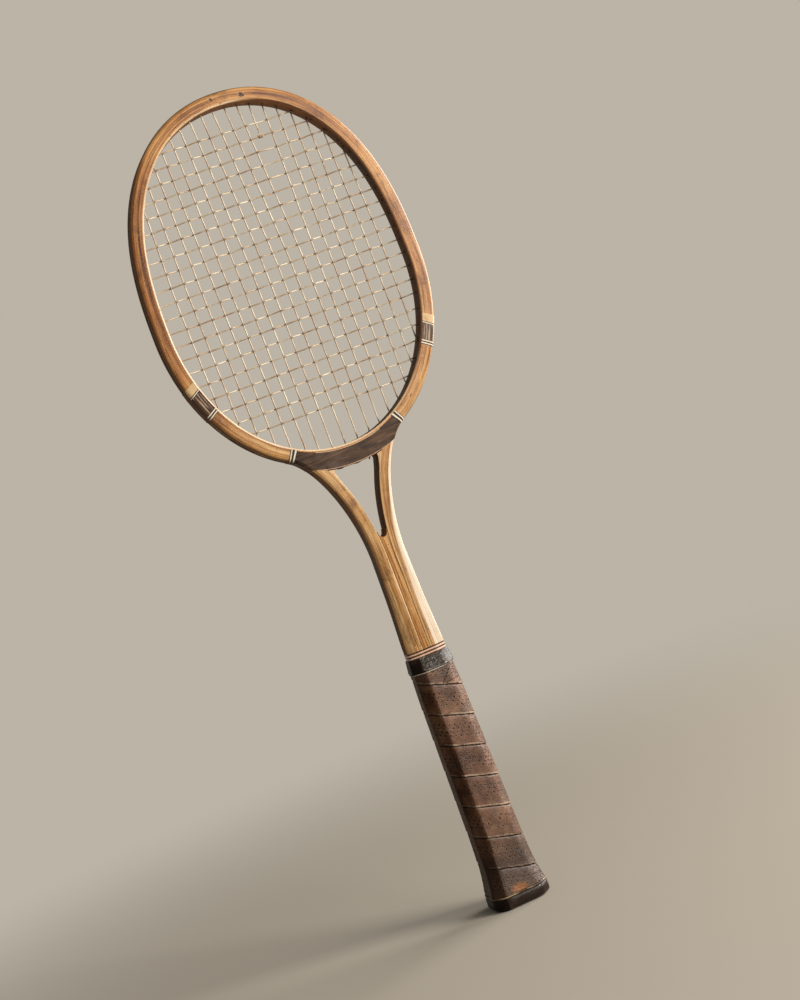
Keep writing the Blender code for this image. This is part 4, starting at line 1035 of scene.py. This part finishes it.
def tube(name, path, step=STRING_STEP, passes=2):
    """A round string along a path whose corners are eased."""
    path = np.array(path)
    lengths = np.concatenate([[0], np.cumsum(np.linalg.norm(np.diff(path, axis=0), axis=1))])
    even = np.linspace(0, lengths[-1], round(lengths[-1] / step))
    points = np.stack([np.interp(even, lengths, path[:, axis]) for axis in range(3)], axis=1)
    for _ in range(passes):
        points[1:-1] = points[1:-1] * 0.5 + (points[:-2] + points[2:]) * 0.25
    ways = np.gradient(points, axis=0)
    ways /= np.linalg.norm(ways, axis=1)[:, None]
    side = np.cross(ways, (0.0, 1.0, 0.0))
    side /= np.linalg.norm(side, axis=1)[:, None]
    up = np.cross(side, ways)
    angles = np.linspace(0, 2 * math.pi, STRING_SIDES, endpoint=False)[None, :, None]
    rings = points[:, None] + STRING_RADIUS * (np.cos(angles) * side[:, None] + np.sin(angles) * up[:, None])
    flat = points[:, [0, 2]]
    nearest = np.linalg.norm(flat[:, None] - CROSSINGS[None], axis=2).min(axis=1)
    crossed = 0.8 * np.clip(1.6 - nearest / CROSSING_DARKENING, 0.0, 1.0)
    depths = np.array([HEAD.depth_of(point)[0] for point in flat])
    # Near the walls the strings are dark, further out on the right, where it is a painted shadow of the frame
    reach = np.where(flat[:, 0] > 0, WALL_STAIN_AND_SHADE[1], WALL_STAIN_AND_SHADE[-1])
    walled = np.clip((RING_IN + reach - depths) / (0.6 * reach), 0.0, 1.0)
    return skin(name, rings, sharp=75, wear=np.maximum(crossed, walled))


def make_strings():
    for label, first, last in (("left", 0, SPARE_HOLE), ("right", SPARE_HOLE, MAINS)):
        holes = [(BOTTOM_HOLES[main], top_hole(main)) for main in range(first, last)]
        dress(tube(f"main_gut_{label}", serpentine(MAIN_LINES[first:last], holes, True)), "gut", "gut",
              f"main_string_{label}")
    lines = [eased(cross_points(cross)) for cross in range(len(CROSS_HEIGHTS))]
    dress(tube("cross_gut", serpentine(lines, CROSS_HOLES, False)), "gut", "gut", "cross_string")
    # The short string hangs from the spare hole and is knotted round the second cross
    near, end = TOP_HOLES[SPARE_HOLE].tail(True)
    behind = np.array([near[0], WEAVE, CROSS_HEIGHTS[0]])
    tied = np.array([near[0], 0.0008, CROSS_HEIGHTS[1] + 0.0024])
    path = [end, near, behind, tied]
    count, turns, length, radius = KNOT
    for share in np.linspace(0, 1, count):
        angle = 2 * math.pi * turns * share
        path.append(np.array([near[0], 0.0, CROSS_HEIGHTS[1]])
                    + (length * (share - 0.5), radius * math.sin(angle), radius * math.cos(angle)))
    dress(tube("short_gut", path, step=0.0006, passes=1), "gut", "gut", "short_main_string")


def hole_cutter(holes):
    """Round string holes, opened out at both walls."""
    shape = bmesh.new()
    angles = np.linspace(0, 2 * math.pi, 8, endpoint=False)
    for hole in holes:
        across = np.array([hole.out[1], -hole.out[0]])
        groove = hole.turn - (GROOVE_DEPTH - STRING_SINK) * hole.out
        rings = []
        for start, reach, radius in ((hole.entry, -0.0020, 0.00170), (hole.entry, 0.0, 0.00115),
                                     (hole.entry, 0.0007, HOLE_RADIUS), (groove, 0.0, HOLE_RADIUS),
                                     (groove, 0.0040, 0.00120)):
            ring = []
            for angle in angles:
                x, z = start + reach * hole.out + radius * math.cos(angle) * across
                y = hole.lane + radius * math.sin(angle)
                ring.append(shape.verts.new((hole.side * x, y, z - HOLD_HEIGHT)))
            rings.append(ring)
        for first, second in zip(rings[:-1], rings[1:]):
            for k in range(len(angles)):
                m = (k + 1) % len(angles)
                shape.faces.new((first[k], first[m], second[m], second[k]))
        shape.faces.new(rings[0][::-1])
        shape.faces.new(rings[-1])
    bmesh.ops.recalc_face_normals(shape, faces=shape.faces)
    mesh = bpy.data.meshes.new("holes")
    shape.to_mesh(mesh)
    shape.free()
    return link(bpy.data.objects.new("holes", mesh))


def make_bow_pieces():
    outer = horseshoe("bow_outer", outer_section, 0.0)
    core = horseshoe("bow_core", core_section, 11.0)
    inner = make_inner_ply()
    # The two nets' holes meet at the shoulders, so that they are cut one net after the other
    for holes in (TOP_HOLES + BOTTOM_HOLES, [hole for pair in CROSS_HOLES for hole in pair]):
        cutter = hole_cutter(holes)
        for piece in (outer, core, inner):
            cut(piece, cutter)
        bpy.data.objects.remove(cutter)
    dress(outer, "outer", "outer_ply", "bow_outer_ply", wall="outer_wall")
    dress(core, "core", "core_ply", "bow_core_ply", wall="inner_wall")
    dress(inner, "inner", "inner_ply", "bow_inner_ply", wall="inner_wall")
    make_beads()


# The throat

def leg_length_where(inward, depth):
    return solve(lambda length: HEAD.depth_of(BOW.at(length, inward))[0], depth, LEG_START, SHAFT_START)


def facing_outline():
    """The throat's facing: along the inner ply above, down the legs, and along the yoke's lower edge."""
    end = LEG_START + OVERLAY_END
    drop = YOKE_DROP - YOKE_EDGE
    foot = leg_length_where(FACING_IN, -drop)
    foot_length = HEAD.depth_of(BOW.at(foot, FACING_IN))[1]
    half = [HEAD.at(length, CORE_IN) for length in np.linspace(HEAD_END, end, 40)]
    half += [BOW.at(length, FACING_IN) for length in np.linspace(end, foot, 14)]
    half += [HEAD.at(length, -drop) for length in np.linspace(foot_length, HEAD_END, 40)[1:]]
    return half + [np.array((-x, z)) for x, z in half[-2:0:-1]]


def facing_line(name, side, lengths, near, far):
    """A thin light line on the bow's front or back face, between two depths."""
    half = [[HEAD.at(length, depth) for depth in (near, far)] for length in lengths]
    half += [[point * (-1, 1) for point in pair] for pair in half[-2::-1]]
    rings = []
    for first, second in half:
        ring = ((first, LINE_LIFT), (second, LINE_LIFT), (second, -LINE_SUNK), (first, -LINE_SUNK))
        rings.append([(x, side * (HALF_DEPTH + lift), z) for (x, z), lift in ring])
    dress(skin(name, rings, shift=41.0), "thin", "tan")


def make_overlays():
    outline = facing_outline()
    middle = np.mean(outline, axis=0)
    foot = leg_length_where(FACING_IN, -YOKE_DROP)
    lengths = np.linspace(HEAD.depth_of(BOW.at(foot, FACING_IN))[1], HEAD_END, 40)
    low = YOKE_EDGE - YOKE_DROP
    for name, side in FACES:
        rings = []
        for lift, shrink in ((-0.0006, 0.0), (0.00006, 0.0), (0.00016, 0.0001)):
            ring = [point - (point - middle) / np.linalg.norm(point - middle) * shrink for point in outline]
            rings.append([(x, side * (HALF_DEPTH + lift), z) for x, z in ring])
        dress(skin(f"throat_facing_{name}", rings), "overlay", "overlay", f"yoke_overlay_{name}")
        facing_line(f"facing_upper_edge_{name}", side, lengths, CORE_IN - 0.0002, CORE_IN + 0.0003)
        facing_line(f"facing_lower_edge_{name}", side, lengths, low - 0.0003, low + 0.00015)
        for label, hand in HANDS:
            make_facing_end(f"facing_end_{label}_{name}", hand, side)


def make_facing_end(name, hand, side):
    """The facing's end, over the bow's rounded outer corner."""
    start = LEG_START + OVERLAY_END
    half = half_profile(start, FACING_END_IN, 8)
    section = [*lifted(half, FACING_END_LIFT)[:-1], *(half[:-1] - (0, LINE_SUNK))[::-1]]
    feet = [leg_length_where(max(float(depth), 0.0), YOKE_EDGE - YOKE_DROP) for depth, _ in section]
    rings = []
    for share in np.linspace(0, 1, 9):
        ring = []
        for (depth, y), foot in zip(section, feet):
            x, z = BOW.at(start + share * (foot - start), depth)
            ring.append((hand * x, side * y, z))
        rings.append(ring)
    dress(skin(name, rings, shift=43.0, sharp=50), "overlay", "overlay")


def liner_wall(length, top):
    share = max(0.0, 1 - (length - top) / LINER_FLARE_LENGTH)
    return LINER + LINER_FLARE * share**2


def make_liners():
    """The legs' pale inner plies, whose first ring is cut along the underside of the yoke."""
    top = leg_length_where(RING_OUT, -YOKE_DROP - GAP)
    inner_top = leg_length_where(RING_OUT + liner_wall(top, top), -YOKE_DROP - GAP)
    lengths = [top, *np.linspace(inner_top, SHAFT_START, 40)[1:], *stations(SHAFT_START + 0.001, BOW.lengths[-1])]
    for label, side in HANDS:
        rings = []
        for length in lengths:
            wall = liner_wall(length, top)
            half = [(RING_OUT, HALF_DEPTH), (RING_OUT + wall - LINER_EDGE, HALF_DEPTH),
                    (RING_OUT + wall - 0.3 * LINER_EDGE, HALF_DEPTH - 0.3 * LINER_EDGE),
                    (RING_OUT + wall, HALF_DEPTH - LINER_EDGE)]
            ring = []
            for depth, y in both_ways(half):
                lean = (depth - RING_OUT) / wall * (inner_top - top) if length == top else 0.0
                x, z = BOW.at(length + lean, depth)
                ring.append((side * x, y, z))
            rings.append(ring)
        dress(skin(f"liner_{label}", rings, shift=17.0 + side), "pale", "pale_wood", f"throat_liner_{label}",
              wall="inner_wall")


# Wraps and lines across the bow

def wrap(name, side, start, end, lift, material, slot, *nodes, count=2, leans=(0.0, 0.0)):
    """A band over the bow's front, outer side and back, from one length along it to another."""
    rings = []
    for share in np.linspace(0, 1, count):
        length = start + share * (end - start)
        half = half_profile(length, WRAP_IN)
        section = both_ways(lifted(half, LIFTS[lift])) + both_ways(lifted(half, -WRAP_SUNK))[::-1]
        rings.append(bow_ring(BOW, length, side, section, leans[0] + share * (leans[1] - leans[0])))
    # Painted shade: the left bands' sides that look to the left take the dark side material
    sides = {"wall": "band_side", "where": is_left_wall} if side < 0 else {}
    dress(skin(name, rings, shift=23.0, sharp=50), material, slot, *nodes, **sides)


def make_wraps():
    tan, level = (TAN_LEAN, TAN_LEAN), (LINE_LEAN, LINE_LEAN)
    for label, side in HANDS:
        start = bow_length_at(TAN_HEIGHTS[label]) - TAN_WIDTH / 2
        end = start + TAN_WIDTH
        wrap(f"tan_band_{label}", side, start, end, "tan", "tan", "tan", f"tan_wrap_{label}", count=4, leans=tan)
        for k, (place, material, slot) in enumerate(((-0.0004, "line", "dark_trim"), (0.0003, "ivory", "ivory"))):
            wrap(f"band_edge_{k}_{label}", side, end + place, end + place + BAND_EDGE, "line", material, slot,
                 leans=tan)
        last = end + GAP + SLEEVE_LENGTHS[label]
        wrap(f"shoulder_band_{label}", side, end, last, "sleeve", "sleeve", "overlay", f"shoulder_sleeve_{label}",
             count=8, leans=(TAN_LEAN, LINE_LEAN))
        for k, row in enumerate(("upper", "lower")):
            place = last + GAP + k * SHOULDER_LINE_STEP
            wrap(f"line_{row}_{label}", side, place, place + LINE_WIDTH, "line", "ivory", "ivory",
                 f"shoulder_line_{row}_{label}", leans=level)
        wrap(f"line_ground_{label}", side, last, place + LINE_WIDTH + 0.0005, "ground", "line", "dark_trim", count=4,
             leans=level)
        for place, row in zip(THROAT_LINES, ("inner", "outer")):
            middle = LEG_START + place
            wrap(f"throat_{row}_{label}", side, middle - LINE_WIDTH / 2, middle + LINE_WIDTH / 2, "throat_line",
                 "ivory", "ivory", f"throat_line_{row}_{label}")
        low = LEG_START + THROAT_LINES[1] - LINE_WIDTH
        high = LEG_START + THROAT_LINES[0] + LINE_WIDTH * 1.2
        wrap(f"throat_ground_{label}", side, low, high, "throat_ground", "line", "dark_trim", count=4)


# The handle

def octagon(height, grow):
    half_width, half_depth, chamfer = wood_at(height)
    half_width, half_depth = half_width + grow, half_depth + grow
    chamfer += grow * (2 - math.sqrt(2))
    x, y = half_width - chamfer, half_depth - chamfer
    front = [(-x, -half_depth), (x, -half_depth), (half_width, -y), (half_width, y)]
    return np.array(front + [(-a, -b) for a, b in front])


def rounded(corners, radius):
    """A loop with its corners rounded."""
    made = []
    for k, corner in enumerate(corners):
        before, after = corners[k - 1], corners[(k + 1) % len(corners)]
        start = corner + (before - corner) / np.linalg.norm(before - corner) * radius
        end = corner + (after - corner) / np.linalg.norm(after - corner) * radius
        for share in np.linspace(0, 1, 5):
            made.append((1 - share) ** 2 * start + 2 * share * (1 - share) * corner + share**2 * end)
    return np.array(made)


def eight_sided(height, grow, corner):
    return height, rounded(octagon(height, grow), corner)


def evened(loop, shares):
    """Points of a closed loop at shares of its way round, from the middle of the front."""
    closed = np.vstack([loop, loop[:1]])
    lengths = np.concatenate([[0], np.cumsum(np.linalg.norm(np.diff(closed, axis=0), axis=1))])
    k = next(k for k in range(len(loop)) if closed[k][0] < 0 <= closed[k + 1][0] and closed[k][1] < 0)
    share = -closed[k][0] / (closed[k + 1][0] - closed[k][0])
    start = lengths[k] + share * (lengths[k + 1] - lengths[k])
    places = (start + np.array(shares) * lengths[-1]) % lengths[-1]
    return np.stack([np.interp(places, lengths, closed[:, axis]) for axis in (0, 1)], axis=1)


def shaft_loop(height, lift):
    """The shaft's outline above the handle, moved out by a distance."""
    length = SHAFT_START + SHAFT_TOP - height
    half = lifted(half_profile(length, SHAFT_HALF_WIDTH * 0.9), lift)
    quarter = [(SHAFT_HALF_WIDTH - depth, y) for depth, y in half]
    loop = [(x, -y) for x, y in quarter] + quarter[::-1]
    return np.array(loop + [(-x, y) for x, y in quarter] + [(-x, -y) for x, y in quarter[::-1]])


LOOP = np.linspace(0, 1, AROUND, endpoint=False)


def make_grip():
    """One strip of leather wound down the handle, its edges rounded and the lower one a little raised."""
    width = GRIP_PITCH - GRIP_SEAM
    seams_up = math.ceil((GRIP_TOP - GRIP_SEAM_HEIGHT) / GRIP_PITCH)
    first_middle = GRIP_SEAM_HEIGHT + (seams_up + 0.5) * GRIP_PITCH
    turns = math.ceil((GRIP_TOP - GRIP_BOTTOM) / GRIP_PITCH) + 3
    section = [(across, GAP + LEATHER * rise) for across, rise in STRIP]
    section += [(across, GAP * 0.5) for across in (-1.0, 0.0, 1.0)]
    rings = []
    for station in range(turns * AROUND):
        share = station % AROUND / AROUND
        # Wound by hand, the strip runs more steeply across the front than across the back
        sway = GRIP_SWAY * math.sin(2 * math.pi * share)
        middle = first_middle - (station / AROUND + sway) * GRIP_PITCH
        high, low = min(GRIP_TOP, middle + width / 2), max(GRIP_BOTTOM, middle - width / 2)
        if high - low < STRIP_LEAST:
            continue
        wander = 0.00012 * math.sin(station * 0.37) + 0.0001 * math.sin(station * 1.13)
        ring = []
        for across, grow in section:
            height = min(max(middle + across * width / 2 + wander, low), high)
            x, y = evened(eight_sided(height, grow, LEATHER_CORNER)[1], [share])[0]
            ring.append((x, y, height))
        rings.append(ring)
    # The faces that look to the left take the darker, duller leather as painted shade
    dress(skin("grip_leather", rings, sharp=60), "leather", "leather", "leather_grip", wall="leather_side",
          where=is_left)


def stack(name, loops, material, slot, *nodes, closed=True, **walls):
    """A ring or cup through level loops, given as (height, loop)."""
    rings = [[(x, y, height) for x, y in evened(loop, LOOP)] for height, loop in loops]
    dress(skin(name, rings, closed=closed, sharp=40), material, slot, *nodes, **walls)


def make_collar():
    base = evened(eight_sided(COLLAR_BOTTOM, GAP + LEATHER + COLLAR_PROUD, COLLAR_CORNER)[1], LOOP)
    top = evened(shaft_loop(COLLAR_TOP, 0.0012), LOOP)
    loops = []
    for share, shrink in ((0.0, 0.035), (0.03, 0.008), (0.10, -0.006), (0.20, 0.0), (0.45, 0.0), (0.70, 0.0),
                          (0.92, 0.0), (0.98, 0.010), (1.0, 0.030)):
        loop = (base * (1 - share) + top * share) * (1 - shrink)
        loops.append((COLLAR_BOTTOM + share * (COLLAR_TOP - COLLAR_BOTTOM), loop))
    loops += [(COLLAR_TOP, shaft_loop(COLLAR_TOP, 0.00003)), (COLLAR_BOTTOM, octagon(COLLAR_BOTTOM, GAP))]
    # The faces that look to the left take the darker, duller black as painted shade
    stack("collar_rubber", loops, "black", "black_rubber", "collar", wall="black_side", where=is_left)
    line = []
    for share, grow in ((0.0, 0.0), (0.0, 0.0018), (0.3, 0.0022), (0.9, 0.0022), (1.0, 0.0018), (1.0, 0.0)):
        level = COLLAR_BOTTOM - GAP - COLLAR_LINE * (1 - share)
        line.append(eight_sided(level, GAP + grow, LINE_CORNER))
    stack("collar_edge", line, "rim", "tan", "collar_line")


def make_trim():
    for k, (material, slot) in enumerate((("salmon", "salmon_trim"), ("line", "dark_trim")) * 2):
        base = TRIM_BASE + k * (TRIM_WIDTH + GAP)
        loops = []
        for share, lift in ((0.0, -0.0001), (0.0, 0.00018), (0.5, 0.00026), (1.0, 0.00018), (1.0, -0.0001)):
            height = base + share * TRIM_WIDTH
            loops.append((height, shaft_loop(height, lift)))
        stack(f"trim_{k + 1}", loops, material, slot, f"shaft_trim_{k + 1}")


def make_butt():
    gold = []
    for share, grow in ((0.0, 0.0), (0.0, 0.0012), (0.5, 0.0015), (1.0, 0.0012), (1.0, 0.0)):
        gold.append(eight_sided(GOLD_BOTTOM + share * (GOLD_TOP - GOLD_BOTTOM), GAP + grow, LINE_CORNER))
    stack("gilt_line", gold, "gold", "gold", "butt_gold_line")
    wall = GAP + LEATHER + GAP
    loops = []
    for angle in np.linspace(0, math.pi / 2, 7):
        corner = rounded(octagon(WOOD_END, wall - CAP_ROUND * (1 - math.sin(angle))), CAP_CORNER)
        loops.append((CAP_ROUND * (1 - math.cos(angle)), corner))
    for below, grow, corner in ((0.0006, wall, CAP_CORNER), (0.0001, wall - 0.0003, CAP_CORNER),
                                (0.0, GAP, LINE_CORNER)):
        loops.append((CAP_TOP - below, rounded(octagon(CAP_TOP, grow), corner)))
    loops.append((WOOD_END - GAP, rounded(octagon(WOOD_END, GAP), LINE_CORNER)))
    # The faces that look to the left take the darker, duller black as painted shade
    stack("butt_end", loops, "cap", "black_rubber", "butt_cap", closed=False, wall="black_side", where=is_left)


def make_pallets():
    """The handle's cheeks, tapered to nothing under the collar."""
    face = HALF_DEPTH + GAP
    for name, side in FACES:
        rings = []
        for height, *_ in HANDLE_PROFILE:
            half_width, half_depth, chamfer = wood_at(height)
            foot, top = half_width - max(0.0, face - (half_depth - chamfer)), half_width - chamfer
            if height > COLLAR_BOTTOM:
                foot, top, half_depth = foot / 2, top / 2, face + GAP
            section = [(-foot, face), (-top, half_depth), (top, half_depth), (foot, face)]
            rings.append([(x, side * y, height) for x, y in section])
        dress(skin(f"cheek_{name}", rings, shift=51.0), "plain", "core_ply", f"handle_pallet_{name}")


make_bow_pieces()
make_overlays()
make_liners()
make_wraps()
make_grip()
make_collar()
make_trim()
make_butt()
make_pallets()
make_strings()
repaint("yoke", "yoke")
repaint("centre_wedge", "wedge")


# Studio

BACKGROUND = (0.50, 0.455, 0.385)
AMBIENT = ((1.0, 0.96, 0.90), 0.15)
WARM, WHITE = (1.0, 0.94, 0.86), (1.0, 0.97, 0.93)
LAMPS = (  # name, place, target height, width, height, power, colour
    ("key", (1.60, -1.45, 0.95), 0.28, 0.9, 0.9, 50, WARM),
    ("window", (2.00, 0.25, 0.60), 0.28, 1.5, 1.8, 46, WHITE),
    ("front", (1.00, -2.15, 0.75), 0.25, 1.0, 1.0, 14, WHITE),
)


def make_floor():
    bpy.ops.mesh.primitive_circle_add(vertices=96, radius=30, fill_type="NGON", location=(0, 0, -HOLD_HEIGHT - 0.0005))
    floor = bpy.context.object
    floor.name = "floor"
    n = Material("floor", specular_ior_level=0.0)
    n.finish(BACKGROUND, 0.9)
    glow = n.add("Emission", {"Color": BACKGROUND, "Strength": 1.0})
    distance = n.add("VectorMath", {0: n.place}, operation="LENGTH").outputs["Value"]
    far = n.range(distance, 0.25, 1.1)
    n.show("Material Output", n.shader.outputs[0], glow.outputs[0], n.times(far, n.seen()))
    floor.data.materials.append(n.material)


def make_world():
    world = bpy.data.worlds.new("studio")
    bpy.context.scene.world = world
    world.use_nodes = True
    n = Nodes(world.node_tree)
    shown = n.tree.nodes["Background"]
    n.put(shown, "Color", BACKGROUND)
    ambient = n.add("Background", {"Color": AMBIENT[0], "Strength": AMBIENT[1]})
    n.show("World Output", ambient.outputs[0], shown.outputs[0], n.seen())


def add_lamp(name, place, target_height, width, height, power, colour):
    light = bpy.data.lights.new(name, "AREA")
    light.shape = "RECTANGLE"
    light.size, light.size_y = width, height
    light.energy = power
    light.color = colour
    lamp = link(bpy.data.objects.new(name, light))
    lamp.location = place
    lamp.rotation_mode = "QUATERNION"
    lamp.rotation_quaternion = (Vector((0, 0, target_height)) - Vector(place)).to_track_quat("-Z", "Y")


def make_camera():
    camera = link(bpy.data.objects.new("camera", bpy.data.cameras.new("camera")))
    camera.data.sensor_width = 36
    camera.data.lens = 66.29
    right = Vector((0.8997, -0.2524, -0.3561))
    down = Vector((-0.3533, 0.0581, -0.9337))
    forward = Vector((0.2564, 0.9659, -0.0369))
    turned = Matrix((right, -down, -forward)).transposed().to_4x4()
    camera.matrix_world = Matrix.Translation((-0.3529, -1.4240, 0.3132)) @ turned
    bpy.context.scene.camera = camera


make_floor()
make_world()
make_camera()
for lamp in LAMPS:
    add_lamp(*lamp)
bpy.context.scene.view_settings.view_transform = "Standard"
